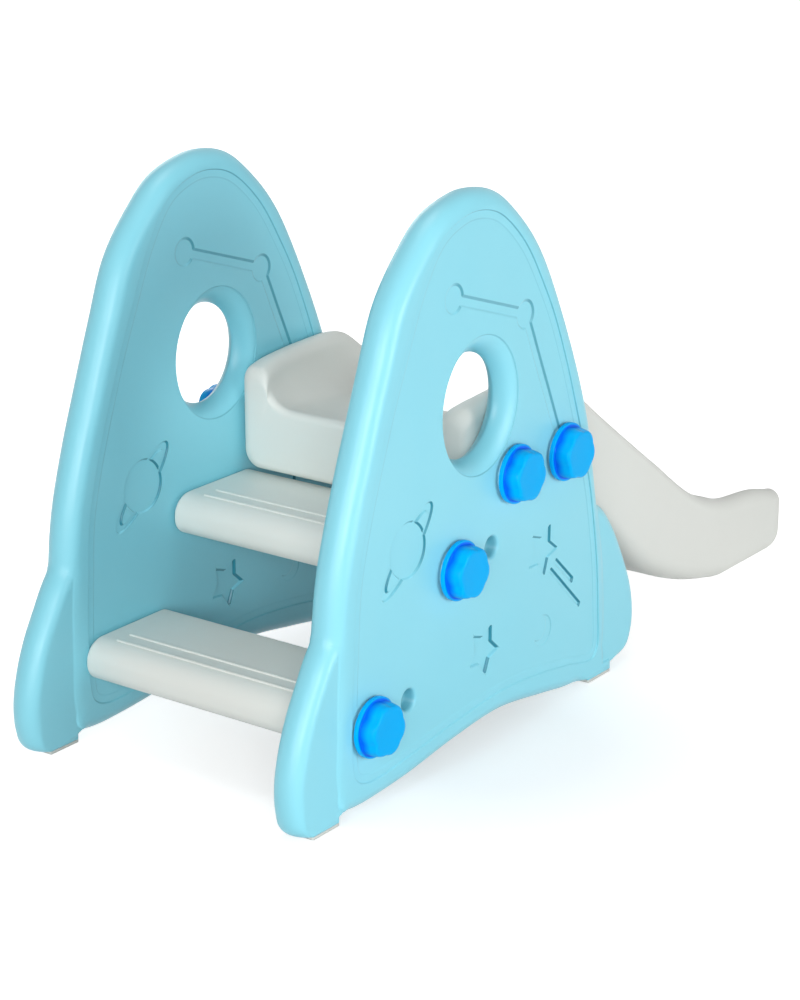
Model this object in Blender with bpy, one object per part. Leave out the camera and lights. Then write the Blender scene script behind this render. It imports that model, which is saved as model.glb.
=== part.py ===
"""Toddler climber slide: two hollow arch panels joined by two steps and a seat-and-chute moulding.

Metres. X runs from the rear feet towards the foot of the chute, Y from the right panel to the left
one, Z up. Profiles are drawn from the rear foot, and the whole is centred over the origin.
"""

import math

import bmesh
import bpy
from mathutils import Matrix, Vector

# Overall sizes
DRAWN_CENTRE_X = 0.5955
CLEAR_WIDTH = 0.3588
PANEL_THICKNESS = 0.046
CHUTE_TIP_X = 1.2175
WALL = 0.003
CONTACT_GAP = 0.0003
OVERCUT = 0.01

# Panel: outlines at mid thickness, clockwise from the rear foot, as X and Z
BODY_OUTLINE = [
    (0.0380, 0.060), (0.0390, 0.100), (0.0430, 0.200), (0.0540, 0.289), (0.0780, 0.371), (0.0940, 0.415),
    (0.1310, 0.512), (0.1640, 0.5905), (0.2110, 0.646), (0.2495, 0.677), (0.3010, 0.693), (0.3300, 0.695),
    (0.3735, 0.6865), (0.4130, 0.660), (0.4630, 0.609), (0.5190, 0.512), (0.5770, 0.3755), (0.6050, 0.254),
    (0.6250, 0.160), (0.6300, 0.100), (0.6300, 0.050), (0.6220, 0.020), (0.5980, 0.0060), (0.5480, 0.0050),
    (0.4910, 0.0135), (0.3860, 0.0275), (0.2870, 0.0215), (0.1920, 0.0095), (0.1260, 0.0050),
    (0.0980, 0.0045), (0.0740, 0.0070), (0.0545, 0.0165), (0.0425, 0.0360),
]
FIELD_OUTLINE = [
    (0.0780, 0.074), (0.0810, 0.199), (0.0900, 0.289), (0.1240, 0.4005), (0.1710, 0.516), (0.2130, 0.603),
    (0.2490, 0.6495), (0.2890, 0.668), (0.3230, 0.6715), (0.3650, 0.661), (0.4150, 0.622), (0.4590, 0.562),
    (0.5025, 0.481), (0.5740, 0.2825), (0.5975, 0.162), (0.6025, 0.100), (0.6030, 0.045), (0.5930, 0.034),
    (0.5330, 0.044), (0.4670, 0.054), (0.3860, 0.0595), (0.2870, 0.053), (0.1920, 0.042), (0.1050, 0.037),
    (0.0840, 0.048),
]
REAR_FIN_OUTLINE = [
    (-0.0260, 0.068), (-0.0180, 0.107), (-0.0030, 0.146), (0.0165, 0.181), (0.0340, 0.210), (0.0560, 0.236),
    (0.0780, 0.251), (0.1010, 0.251), (0.1210, 0.237), (0.1310, 0.213), (0.1320, 0.180), (0.1300, 0.110),
    (0.1180, 0.060), (0.0900, 0.027), (0.0560, 0.0085), (0.0250, 0.0020), (0.0010, 0.0025),
    (-0.0160, 0.0120), (-0.0245, 0.034),
]
FRONT_FIN_OUTLINE = [
    (0.5450, 0.120), (0.5480, 0.195), (0.5650, 0.229), (0.5930, 0.245), (0.6200, 0.2345), (0.6500, 0.200),
    (0.6770, 0.1535), (0.6970, 0.110), (0.7050, 0.076), (0.7040, 0.045), (0.6905, 0.017), (0.6640, 0.007),
    (0.6330, 0.011), (0.5930, 0.029), (0.5600, 0.062),
]
EDGE_ROUND = 0.020
FIN_EDGE_ROUND = 0.016
FIN_SET_BACK = 0.0025
FIELD_DEPTH = 0.002
FIELD_DRAFT = 0.002
FIELD_OVERCUT = 0.004

# Porthole: an oval dish sunk into both faces, down to an open throat
PORTHOLE_CENTRE = (0.333, 0.438)
DISH_HALF_SIZE = (0.079, 0.086)
DISH_SLOPE = 0.0255
THROAT_LAND = 0.012

# Hand screws, their washers and the inserts that they turn into
STEP_SCREW_AXES = {"lower_step": (0.112, 0.105), "upper_step": (0.282, 0.247)}
SEAT_SCREW_AXES = {"seat_rear": (0.402, 0.336), "seat_front": (0.513, 0.336)}
SHANK_RADIUS = 0.011
SHANK_CLEARANCE = 0.001
THREAD_ENGAGEMENT = 0.025
FLANGE_RADIUS = 0.037
FLANGE_THICKNESS = 0.003
CROWN_HEIGHT = 0.020
CROWN_BASE_RADIUS = 0.0345
CROWN_FRONT_RADIUS = 0.0290
LOBE_COUNT = 6
LOBE_DEPTH = 0.0014
SCREW_SIDES = 24
WASHER_CORNER_RADIUS = 0.0385
WASHER_THICKNESS = 0.003
WASHER_TURNS = {"lower_step": -95, "upper_step": -95, "seat_rear": -100, "seat_front": 0}
BOSS_RADIUS = 0.034
BOSS_HEIGHT = 0.0005
INSERT_WALL = 0.0032
INSERT_LENGTH = 0.028
INSERT_RECESS = 0.0005
COLLAR_OVERHANG = 0.0023
COLLAR_THICKNESS = 0.003

# Locating pegs on the steps, and the blind dimples outside the sockets that take them
PEG_OFFSET = (0.076, 0.006)
PEG_RADIUS = 0.012
PEG_LENGTH = 0.016
DIMPLE_MOUTH_RADIUS = 0.015
DIMPLE_FLOOR_RADIUS = 0.008
DIMPLE_DEPTH = 0.014

# Steps, placed by their screws
STEP_DEPTH = 0.1495
STEP_THICKNESS = 0.0525
STEP_NOSE_OVERHANG = 0.045
STEP_TOP_ABOVE_AXIS = 0.025
STEP_UPPER_NOSE = (0.030, 0.027)
STEP_LOWER_NOSE = (0.022, 0.0215)
STEP_REAR_ROUND = 0.008
STEP_END_ROUND = 0.0025
GRIP_RIB_PLACES = (0.028, 0.051)
GRIP_RIB_WIDTH = 0.005
GRIP_RIB_HEIGHT = 0.0018
GRIP_RIB_END_MARGIN = 0.029

# Seat and chute: heights of the wall tops, the riding surface and the underside along X
CHUTE_REAR_X = 0.372
RIM_LINE = [
    (0.372, 0.377), (0.379, 0.399), (0.390, 0.413), (0.405, 0.422), (0.425, 0.426), (0.530, 0.426),
    (0.560, 0.421), (0.598, 0.396), (0.684, 0.333), (0.822, 0.235), (0.940, 0.155), (0.993, 0.133),
    (1.040, 0.121), (1.120, 0.112), (1.189, 0.095), (1.2175, 0.090),
]
BED_LINE = [
    (0.372, 0.366), (0.400, 0.359), (0.440, 0.356), (0.490, 0.356), (0.530, 0.350), (0.570, 0.331),
    (0.620, 0.298), (0.900, 0.100), (0.950, 0.074), (1.000, 0.064), (1.060, 0.060), (1.2175, 0.058),
]
UNDERSIDE_LINE = [
    (0.372, 0.276), (0.530, 0.276), (0.560, 0.267), (0.793, 0.093), (0.832, 0.068), (0.887, 0.042),
    (0.950, 0.020), (1.002, 0.007), (1.040, 0.000), (1.2175, 0.000),
]
CHUTE_STATIONS = [
    0.410, 0.440, 0.490, 0.530, 0.552, 0.572, 0.600, 0.640, 0.790, 0.835, 0.887, 0.940, 0.980, 1.040, 1.120,
]
CHUTE_WALL_WIDTH = 0.034
CHUTE_LEAST_RISE = 0.001
CHUTE_RIM_ROUND = 0.015
CHUTE_BED_ROUND = 0.022
CHUTE_LOWER_ROUND = 0.034
CHUTE_REAR_ROUND = 0.014
CHUTE_REAR_EDGE = 0.008
CHUTE_TIP_PLAN_ROUND = 0.045
CHUTE_TIP_NOSE = 0.028
CHUTE_TIP_HEIGHT = 0.034

# Foot pads
PAD_THICKNESS = 0.0045
PAD_SPANS = {"rear": (0.004, 0.054), "front": (0.5845, 0.638)}
PAD_SET_BACKS = {"rear": FIN_SET_BACK + 0.0003, "front": 0.0005}
LANDING_HEIGHT = 0.018
PAD_PLUG_RADIUS = 0.005
PAD_PLUG_LENGTH = 0.010

SIDES = {"right": -1, "left": 1}
HALF_CLEAR = CLEAR_WIDTH / 2
HALF_OUTER = HALF_CLEAR + PANEL_THICKNESS

COLOURS = {
    "panel_blue": ((0.26, 0.69, 0.82), 0.38),
    "step_grey": ((0.62, 0.66, 0.63), 0.45),
    "screw_blue": ((0.0, 0.33, 1.0), 0.16),
    "washer_navy": ((0.0, 0.05, 0.32), 0.35),
    "insert_white": ((0.80, 0.80, 0.78), 0.40),
    "pad_grey": ((0.58, 0.58, 0.55), 0.80),
}


def clear_scene():
    for item in list(bpy.data.objects):
        bpy.data.objects.remove(item, do_unlink=True)


def material(name):
    if name in bpy.data.materials:
        return bpy.data.materials[name]
    colour, roughness = COLOURS[name]
    made = bpy.data.materials.new(name)
    made.use_nodes = True
    surface = made.node_tree.nodes["Principled BSDF"]
    surface.inputs["Base Color"].default_value = (*colour, 1.0)
    surface.inputs["Roughness"].default_value = roughness
    surface.inputs["Metallic"].default_value = 0.0
    return made


def closed_curve(landmarks, max_turn=14, max_run=0.065):
    """Points of a closed smooth curve through the landmarks, closer together where it turns."""
    fine = []
    count = len(landmarks)
    for i in range(count):
        p = [Vector(landmarks[(i + k) % count]) for k in (-1, 0, 1, 2)]
        knots = [0.0]
        for a, b in zip(p, p[1:]):
            knots.append(knots[-1] + math.sqrt((b - a).length))
        for step in range(12):
            t = knots[1] + (knots[2] - knots[1]) * step / 12
            fine.append(curve_point(p, knots, t))
    kept = []
    turned = run = 0.0
    for i, here in enumerate(fine):
        before = here - fine[i - 1]
        after = fine[(i + 1) % len(fine)] - here
        turned += math.degrees(abs(before.angle_signed(after)))
        run += before.length
        if i == 0 or turned >= max_turn or run >= max_run:
            normal = (before.normalized() + after.normalized()).normalized()
            kept.append((here, Vector((-normal.y, normal.x))))
            turned = run = 0.0
    return kept


def curve_point(p, knots, t):
    """Centripetal Catmull-Rom interpolation between the middle two of four points."""
    level = list(p)
    for width in (1, 2, 3):
        nearer = []
        for i in range(4 - width):
            lo, hi = knots[i], knots[i + width]
            if width == 3:
                lo, hi = knots[1], knots[2]
            share = (t - lo) / (hi - lo)
            nearer.append(level[i].lerp(level[i + 1], share))
        level = nearer
    return level[0]


def slope_at(line, k):
    """Slope of a line at its landmark k, level at a crest or a dip so that it never overshoots."""
    near = line[max(k - 1, 0) : k + 2]
    rises = [(b[1] - a[1]) / (b[0] - a[0]) for a, b in zip(near, near[1:])]
    if min(rises) * max(rises) <= 0:
        return 0.0
    return len(rises) / sum(1 / rise for rise in rises)


def height_at(line, x):
    """Height of a smooth line, given as X and Z landmarks, at x."""
    x = min(max(x, line[0][0]), line[-1][0])
    i = max(k for k in range(len(line) - 1) if line[k][0] <= x)
    span = line[i + 1][0] - line[i][0]
    t = (x - line[i][0]) / span
    ends = line[i][1] * (2 * t**3 - 3 * t**2 + 1) + line[i + 1][1] * (3 * t**2 - 2 * t**3)
    leaving = slope_at(line, i) * (t**3 - 2 * t**2 + t)
    arriving = slope_at(line, i + 1) * (t**3 - t**2)
    return ends + span * (leaving + arriving)


def new_object(name, shape):
    bmesh.ops.recalc_face_normals(shape, faces=shape.faces)
    mesh = bpy.data.meshes.new(name)
    shape.to_mesh(mesh)
    shape.free()
    made = bpy.data.objects.new(name, mesh)
    bpy.context.scene.collection.objects.link(made)
    return made


def loft(name, loops):
    """A closed solid through loops of as many points each, its first and last loop filled."""
    shape = bmesh.new()
    rings = [[shape.verts.new(point) for point in loop] for loop in loops]
    for ring, following in zip(rings, rings[1:]):
        for i, corner in enumerate(ring):
            shape.faces.new((ring[i - 1], corner, following[i], following[i - 1]))
    shape.faces.new(rings[0])
    shape.faces.new(reversed(rings[-1]))
    return new_object(name, shape)


def turned(name, profile, sides, lobes=0):
    """A solid of revolution about Z from rows of height, radius and lobe depth, first to last."""
    loops = []
    for height, radius, depth in profile:
        loop = []
        for k in range(sides):
            angle = 2 * math.pi * k / sides
            reach = radius + depth * math.cos(lobes * angle)
            loop.append((reach * math.cos(angle), reach * math.sin(angle), height))
        loops.append(loop)
    return loft(name, loops)


def cylinder_y(name, centre, radius, y_from, y_to, sides=20, end_radius=None):
    """A round or tapered bar along Y, from y_from to y_to, about the X and Z of its centre."""
    bar = turned(name, [(y_from, radius, 0), (y_to, end_radius or radius, 0)], sides)
    to_place = Matrix.Translation((centre[0], 0, centre[1]))
    bar.data.transform(to_place @ Matrix.Rotation(-math.pi / 2, 4, "X"))
    return bar


def box(name, low, high):
    shape = bmesh.new()
    bmesh.ops.create_cube(shape, size=1)
    middle = (Vector(low) + Vector(high)) / 2
    stretch = Matrix.Diagonal(Vector(high) - Vector(low)).to_4x4()
    bmesh.ops.transform(shape, matrix=Matrix.Translation(middle) @ stretch, verts=shape.verts)
    return new_object(name, shape)


def combine(target, tools, operation):
    """Joins tools to the target or cuts them from it, and uses them up."""
    for tool in tools:
        modifier = target.modifiers.new("shape", "BOOLEAN")
        modifier.operation = operation
        modifier.solver = "EXACT"
        modifier.object = tool
        bpy.context.view_layer.update()
        graph = bpy.context.evaluated_depsgraph_get()
        made = bpy.data.meshes.new_from_object(target.evaluated_get(graph))
        target.modifiers.clear()
        target.data = made
        bpy.data.objects.remove(tool, do_unlink=True)
    return target


def finish(item, material_name, sharp_angle=35):
    """Gives an object its material and smooth shading between sharp edges."""
    item.data.materials.clear()
    item.data.materials.append(material(material_name))
    item.data.shade_smooth()
    item.data.set_sharp_from_angle(angle=math.radians(sharp_angle))
    return item


def rounded_slab(name, outline, edge, set_back, inset, max_turn, edge_steps):
    """A slab with elliptical edges across the panel's thickness, shrunk on every side by inset."""
    curve = closed_curve(outline, max_turn)
    half = PANEL_THICKNESS / 2 - set_back - inset
    across = edge - inset
    loops = []
    for k in range(-edge_steps, edge_steps + 1):
        angle = math.pi / 2 * k / edge_steps
        inward = inset + across * (1 - math.cos(angle))
        y = PANEL_THICKNESS / 2 + half * math.sin(angle)
        loops.append([(p.x - n.x * inward, y, p.y - n.y * inward) for p, n in curve])
    return loft(name, loops)


def field_cutter(name, face_y, outward):
    """The shallow recess of a face, with a sloped edge."""
    curve = closed_curve(FIELD_OUTLINE, 16)
    loops = []
    slope = FIELD_DRAFT / FIELD_DEPTH
    for depth, widen in ((-FIELD_OVERCUT, slope * (FIELD_OVERCUT + FIELD_DEPTH)), (FIELD_DEPTH, 0.0)):
        y = face_y - outward * depth
        loops.append([(p.x + n.x * widen, y, p.y + n.y * widen) for p, n in curve])
    return loft(name, loops)


def porthole_solid(name, grown, steps, sides):
    """The dish of both faces with the throat between them, grown on every side by a wall."""
    profile = []
    reach = PANEL_THICKNESS / 2 - THROAT_LAND / 2
    for k in range(steps + 1):
        t = k / steps
        sunk = FIELD_DEPTH + (reach - FIELD_DEPTH) * (3 * t**2 - 2 * t**3)
        profile.append((sunk + grown, DISH_SLOPE * t))
    profile.insert(0, (-OVERCUT, -2 * grown))
    rows = profile + [(PANEL_THICKNESS - y, narrowing) for y, narrowing in reversed(profile)]
    loops = []
    for y, narrowing in rows:
        half_x = DISH_HALF_SIZE[0] + grown - narrowing
        half_z = DISH_HALF_SIZE[1] + grown - narrowing
        loop = []
        for k in range(sides):
            angle = 2 * math.pi * k / sides
            x = PORTHOLE_CENTRE[0] + half_x * math.cos(angle)
            loop.append((x, y, PORTHOLE_CENTRE[1] + half_z * math.sin(angle)))
        loops.append(loop)
    return loft(name, loops)


def peg_centre(axis):
    return (axis[0] + PEG_OFFSET[0], axis[1] + PEG_OFFSET[1])


def side_panel(name):
    """A hollow panel with its outer face at Y = 0 and its inner face at PANEL_THICKNESS."""
    thick = PANEL_THICKNESS
    through = (-OVERCUT, thick + OVERCUT)
    panel = rounded_slab(name, BODY_OUTLINE, EDGE_ROUND, 0, 0, 10, 3)
    fins = [
        rounded_slab("fin", outline, FIN_EDGE_ROUND, FIN_SET_BACK, 0, 14, 3)
        for outline in (REAR_FIN_OUTLINE, FRONT_FIN_OUTLINE)
    ]
    landing_bottom = PAD_THICKNESS + CONTACT_GAP
    landings = []
    for end_name, (x_from, x_to) in PAD_SPANS.items():
        set_back = PAD_SET_BACKS[end_name]
        low, high = (x_from, set_back, landing_bottom), (x_to, thick - set_back, LANDING_HEIGHT)
        landings.append(box("landing", low, high))
    combine(panel, fins + landings, "UNION")
    recesses = []
    for x_from, x_to in PAD_SPANS.values():
        low = (x_from - CONTACT_GAP, through[0], -OVERCUT)
        recesses.append(box("pad_recess", low, (x_to + CONTACT_GAP, through[1], landing_bottom)))
    fields = [field_cutter("field", 0, -1), field_cutter("field", thick, 1)]
    combine(panel, recesses + fields, "DIFFERENCE")

    hollow = rounded_slab("hollow", BODY_OUTLINE, EDGE_ROUND, FIELD_DEPTH, WALL, 20, 2)
    fin_hollows = [
        rounded_slab("fin_hollow", outline, FIN_EDGE_ROUND, FIN_SET_BACK, WALL, 24, 2)
        for outline in (REAR_FIN_OUTLINE, FRONT_FIN_OUTLINE)
    ]
    combine(hollow, fin_hollows, "UNION")
    screw_axes = list(STEP_SCREW_AXES.values()) + list(SEAT_SCREW_AXES.values())
    pegs = [peg_centre(axis) for axis in STEP_SCREW_AXES.values()]
    bore = SHANK_RADIUS + SHANK_CLEARANCE
    socket = PEG_RADIUS + CONTACT_GAP
    kept = [cylinder_y("sleeve", axis, bore + WALL, *through, 14) for axis in screw_axes]
    kept += [cylinder_y("post", peg, DIMPLE_MOUTH_RADIUS + WALL, *through, 14) for peg in pegs]
    kept.append(porthole_solid("dish_wall", WALL, 2, 16))
    combine(hollow, kept, "DIFFERENCE")
    combine(panel, [hollow], "DIFFERENCE")

    boss_span = (-BOSS_HEIGHT, FIELD_DEPTH + WALL / 2)
    bosses = [cylinder_y("boss", axis, BOSS_RADIUS, *boss_span, 18) for axis in screw_axes]
    combine(panel, bosses, "UNION")
    cuts = [cylinder_y("bore", axis, bore, *through) for axis in screw_axes]
    cuts.append(porthole_solid("dish", 0, 3, 28))
    slope = (DIMPLE_MOUTH_RADIUS - DIMPLE_FLOOR_RADIUS) / DIMPLE_DEPTH
    mouth = DIMPLE_MOUTH_RADIUS + slope * OVERCUT
    dimple_span = (FIELD_DEPTH - OVERCUT, FIELD_DEPTH + DIMPLE_DEPTH)
    socket_span = (thick - PEG_LENGTH - CONTACT_GAP, through[1])
    for peg in pegs:
        cuts.append(cylinder_y("dimple", peg, mouth, *dimple_span, 20, DIMPLE_FLOOR_RADIUS))
        cuts.append(cylinder_y("socket", peg, socket, *socket_span))
    plug_hole_top = PAD_THICKNESS + PAD_PLUG_LENGTH + WALL + OVERCUT
    for span in PAD_SPANS.values():
        plug_hole = turned("plug_hole", pad_plug_profile(CONTACT_GAP, plug_hole_top), 12)
        plug_hole.data.transform(Matrix.Translation((sum(span) / 2, thick / 2, 0)))
        cuts.append(plug_hole)
    combine(panel, cuts, "DIFFERENCE")
    return finish(panel, "panel_blue")


def pad_plug_profile(clearance, top):
    """The plug that holds a pad on, from half way down in the pad."""
    radius = PAD_PLUG_RADIUS + clearance
    return [(PAD_THICKNESS / 2, radius, 0), (top, radius, 0)]


def mirrored(item, name):
    """A mirror image of an object across its own Y."""
    shape = bmesh.new()
    shape.from_mesh(item.data)
    bmesh.ops.transform(shape, matrix=Matrix.Scale(-1, 4, (0, 1, 0)), verts=shape.verts)
    bmesh.ops.reverse_faces(shape, faces=shape.faces)
    mesh = item.data.copy()
    mesh.name = name
    shape.to_mesh(mesh)
    shape.free()
    made = bpy.data.objects.new(name, mesh)
    bpy.context.scene.collection.objects.link(made)
    return made


def foot_pad(name, span, set_back):
    pad = box(name, (span[0], set_back, 0), (span[1], PANEL_THICKNESS - set_back, PAD_THICKNESS))
    plug = turned("plug", pad_plug_profile(0, PAD_THICKNESS + PAD_PLUG_LENGTH), 12)
    plug.data.transform(Matrix.Translation((sum(span) / 2, PANEL_THICKNESS / 2, 0)))
    combine(pad, [plug], "UNION")
    return finish(pad, "pad_grey")


def arc(centre, radii, start, end, steps):
    """Points of an elliptical arc between two angles in degrees."""
    points = []
    for k in range(steps + 1):
        angle = math.radians(start + (end - start) * k / steps)
        points.append((centre[0] + radii[0] * math.cos(angle), centre[1] + radii[1] * math.sin(angle)))
    return points


def step_profile(inset, steps):
    """Side view of a step, shrunk by inset, from the nose, with its top at Z = 0."""
    low = inset - STEP_THICKNESS
    back = STEP_DEPTH - inset
    upper, lower = STEP_UPPER_NOSE, STEP_LOWER_NOSE
    rear = STEP_REAR_ROUND - inset / 2
    points = arc((upper[0], -upper[1]), (upper[0] - inset, upper[1] - inset), 180, 90, steps)
    points += arc((back - rear, -inset - rear), (rear, rear), 90, 0, 2)
    points += arc((back - rear, low + rear), (rear, rear), 0, -90, 2)
    lower_centre = (lower[0], lower[1] - STEP_THICKNESS)
    points += arc(lower_centre, (lower[0] - inset, lower[1] - inset), -90, -180, steps)
    return points


def step_loop(y, inset, steps):
    nose = -STEP_NOSE_OVERHANG
    return [(nose + x, y, STEP_TOP_ABOVE_AXIS + z) for x, z in step_profile(inset, steps)]


def insert_inradius():
    return SHANK_RADIUS + CONTACT_GAP + INSERT_WALL


def hexagon_y(name, centre, inradius, y_from, y_to):
    return cylinder_y(name, centre, inradius / math.cos(math.pi / 6), y_from, y_to, 6)


def insert_bosses(hollow, centres, end_y):
    """Cuts a boss's room from a hollow at both ends of each insert axis, so that the boss is left."""
    radius = (insert_inradius() + CONTACT_GAP) / math.cos(math.pi / 6) + WALL
    bosses = []
    for centre in centres:
        for side in SIDES.values():
            inner = side * (end_y - INSERT_LENGTH)
            span = sorted((inner, side * (end_y + OVERCUT)))
            bosses.append(cylinder_y("boss", centre, radius, *span, 14))
    combine(hollow, bosses, "DIFFERENCE")


def insert_sockets(target, centres, end_y):
    """Cuts the hexagonal socket at both ends of each insert axis."""
    sockets = []
    for centre in centres:
        for side in SIDES.values():
            inner = side * (end_y - INSERT_LENGTH - WALL)
            span = sorted((inner, side * (end_y + OVERCUT)))
            sockets.append(hexagon_y("socket", centre, insert_inradius() + CONTACT_GAP, *span))
    combine(target, sockets, "DIFFERENCE")


def step(name):
    """A hollow step about its screw axis, as wide as the space between the panels."""
    half = HALF_CLEAR - CONTACT_GAP
    part_round = 0.3 * STEP_END_ROUND
    ends = [(half - STEP_END_ROUND, 0.0), (half - part_round, part_round), (half, STEP_END_ROUND)]
    rows = [(-y, inset) for y, inset in reversed(ends)] + ends
    tread = loft(name, [step_loop(y, inset, 4) for y, inset in rows])
    ribs = []
    rib_half = half - GRIP_RIB_END_MARGIN
    for from_nose in GRIP_RIB_PLACES:
        rib = cylinder_y("rib", (0, 0), GRIP_RIB_WIDTH / 2, -rib_half, rib_half, 8)
        rib.data.transform(Matrix.Diagonal((1, 1, 2 * GRIP_RIB_HEIGHT / GRIP_RIB_WIDTH)).to_4x4())
        rib.data.transform(Matrix.Translation((from_nose - STEP_NOSE_OVERHANG, 0, STEP_TOP_ABOVE_AXIS)))
        ribs.append(rib)
    peg = PEG_OFFSET
    reach = half + PEG_LENGTH
    pegs = [
        cylinder_y("peg", peg, PEG_RADIUS, *sorted((side * (half - WALL / 2), side * reach)))
        for side in SIDES.values()
    ]
    combine(tread, ribs + pegs, "UNION")
    hollow_half = half - WALL
    hollow = loft("hollow", [step_loop(y, WALL, 3) for y in (-hollow_half, hollow_half)])
    peg_hollow = cylinder_y("peg_hollow", peg, PEG_RADIUS - WALL, WALL - reach, reach - WALL, 12)
    insert_bosses(hollow, [(0, 0)], half)
    combine(hollow, [peg_hollow], "UNION")
    combine(tread, [hollow], "DIFFERENCE")
    insert_sockets(tread, [(0, 0)], half)
    return finish(tread, "step_grey")


def eased(distance, reach):
    """How far a quarter round of radius reach draws a face in at a distance from its end."""
    if distance >= reach:
        return 0.0
    return reach - math.sqrt(reach**2 - (reach - distance) ** 2)


def chute_section(x, inset, steps):
    """A closed loop across the seat and chute at x, shrunk by inset."""
    from_rear = x - CHUTE_REAR_X
    from_tip = CHUTE_TIP_X - x
    half = HALF_CLEAR - CONTACT_GAP - inset
    half -= eased(from_rear, CHUTE_REAR_ROUND) + eased(from_tip, CHUTE_TIP_PLAN_ROUND)
    rear_edge = eased(from_rear, CHUTE_REAR_EDGE)
    rim = height_at(RIM_LINE, x) - inset
    bed = height_at(BED_LINE, x) - rear_edge - inset
    low = height_at(UNDERSIDE_LINE, x) + rear_edge + inset
    fade = 1 - eased(from_tip, CHUTE_TIP_NOSE) / CHUTE_TIP_NOSE
    low = CHUTE_TIP_HEIGHT + (low - CHUTE_TIP_HEIGHT) * fade
    bed = CHUTE_TIP_HEIGHT + (bed - CHUTE_TIP_HEIGHT) * fade
    rim = CHUTE_TIP_HEIGHT + (rim - CHUTE_TIP_HEIGHT) * fade
    wall = CHUTE_WALL_WIDTH - 2 * inset
    rise = max(rim - bed, CHUTE_LEAST_RISE)
    rim_round = min(CHUTE_RIM_ROUND - inset, 0.45 * rise, 0.45 * wall)
    bed_round = min(CHUTE_BED_ROUND + inset, 0.45 * rise)
    lower_round = min(CHUTE_LOWER_ROUND - inset, 0.45 * (rim - low))
    inner = half - wall
    points = [(0.0, low)]
    points += arc((half - lower_round, low + lower_round), (lower_round, lower_round), -90, 0, steps)
    points += arc((half - rim_round, rim - rim_round), (rim_round, rim_round), 0, 90, steps)
    points += arc((inner + rim_round, rim - rim_round), (rim_round, rim_round), 90, 180, steps)
    points += arc((inner - bed_round, bed + bed_round), (bed_round, bed_round), 0, -90, steps)
    points.append((0.0, bed))
    mirror = [(-y, z) for y, z in reversed(points[1:-1])]
    return [(x, y, z) for y, z in points + mirror]


def chute_stations(inset):
    """Places of the sections, closer together round the rear corners and the tip."""
    rear = CHUTE_REAR_X + inset
    tip = CHUTE_TIP_X - inset
    places = [rear]
    places += [rear + CHUTE_REAR_ROUND * share for share in (0.06, 0.3, 1.0)]
    places += [x for x in CHUTE_STATIONS if x > places[-1] + 0.01]
    places += [tip - CHUTE_TIP_PLAN_ROUND * share for share in (1.0, 0.5, 0.25, 0.09, 0.015)]
    return places


def seat_and_chute(name):
    """The double-walled seat and chute, in one hollow piece."""
    chute = loft(name, [chute_section(x, 0, 3) for x in chute_stations(0)])
    hollow = loft("hollow", [chute_section(x, WALL, 1) for x in chute_stations(WALL)[:-1]])
    centres = list(SEAT_SCREW_AXES.values())
    end_y = HALF_CLEAR - CONTACT_GAP
    insert_bosses(hollow, centres, end_y)
    combine(chute, [hollow], "DIFFERENCE")
    insert_sockets(chute, centres, end_y)
    return finish(chute, "step_grey")


def hand_screw(name):
    """A cup-shaped screw on Z, its flange resting on the washer and its head up."""
    seat = BOSS_HEIGHT + WASHER_THICKNESS + 2 * CONTACT_GAP
    front = seat + FLANGE_THICKNESS + CROWN_HEIGHT
    tip = -(PANEL_THICKNESS + CONTACT_GAP + INSERT_RECESS + THREAD_ENGAGEMENT)
    crown_wall = 2 * SHANK_CLEARANCE + WALL
    profile = [
        (tip, SHANK_RADIUS, 0),
        (front - WALL, SHANK_RADIUS, 0),
        (front - WALL, CROWN_FRONT_RADIUS - crown_wall, 0),
        (seat, CROWN_BASE_RADIUS - crown_wall, 0),
        (seat, FLANGE_RADIUS, 0),
        (seat + FLANGE_THICKNESS, FLANGE_RADIUS, 0),
        (seat + FLANGE_THICKNESS, CROWN_BASE_RADIUS, LOBE_DEPTH),
        (front, CROWN_FRONT_RADIUS, LOBE_DEPTH),
    ]
    return finish(turned(name, profile, SCREW_SIDES, LOBE_COUNT), "screw_blue")


def hexagonal_washer(name, turn):
    """A washer on Z with a corner at turn degrees from X."""
    low = BOSS_HEIGHT + CONTACT_GAP
    high = low + WASHER_THICKNESS
    washer = turned(name, [(low, WASHER_CORNER_RADIUS, 0), (high, WASHER_CORNER_RADIUS, 0)], 6)
    hole = SHANK_RADIUS + SHANK_CLEARANCE
    cutter = turned("hole", [(low - OVERCUT, hole, 0), (high + OVERCUT, hole, 0)], 16)
    combine(washer, [cutter], "DIFFERENCE")
    washer.data.transform(Matrix.Rotation(math.radians(turn), 4, "Z"))
    return finish(washer, "washer_navy")


def threaded_insert(name):
    """A hexagonal insert on Z, with a round collar behind the boss that holds it."""
    end = -(PANEL_THICKNESS + CONTACT_GAP + INSERT_RECESS)
    boss_back = -(PANEL_THICKNESS + CONTACT_GAP + INSERT_LENGTH)
    collar_front = boss_back - CONTACT_GAP
    across = insert_inradius() / math.cos(math.pi / 6)
    insert = turned(name, [(collar_front - COLLAR_THICKNESS / 2, across, 0), (end, across, 0)], 6)
    collar_radius = across + COLLAR_OVERHANG
    collar_span = (collar_front - COLLAR_THICKNESS, collar_front)
    collar = turned("collar", [(height, collar_radius, 0) for height in collar_span], 16)
    combine(insert, [collar], "UNION")
    bore = SHANK_RADIUS + CONTACT_GAP
    cutter = turned("bore", [(collar_front - OVERCUT, bore, 0), (end + OVERCUT, bore, 0)], 16)
    combine(insert, [cutter], "DIFFERENCE")
    return finish(insert, "insert_white")


def place(item, base, location, side):
    """Puts a piece drawn on Z onto a screw axis, with its outer end away from the slide."""
    item.parent = base
    item.location = (location[0], side * HALF_OUTER, location[1])
    item.rotation_euler = (-side * math.pi / 2, 0, 0)


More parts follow.
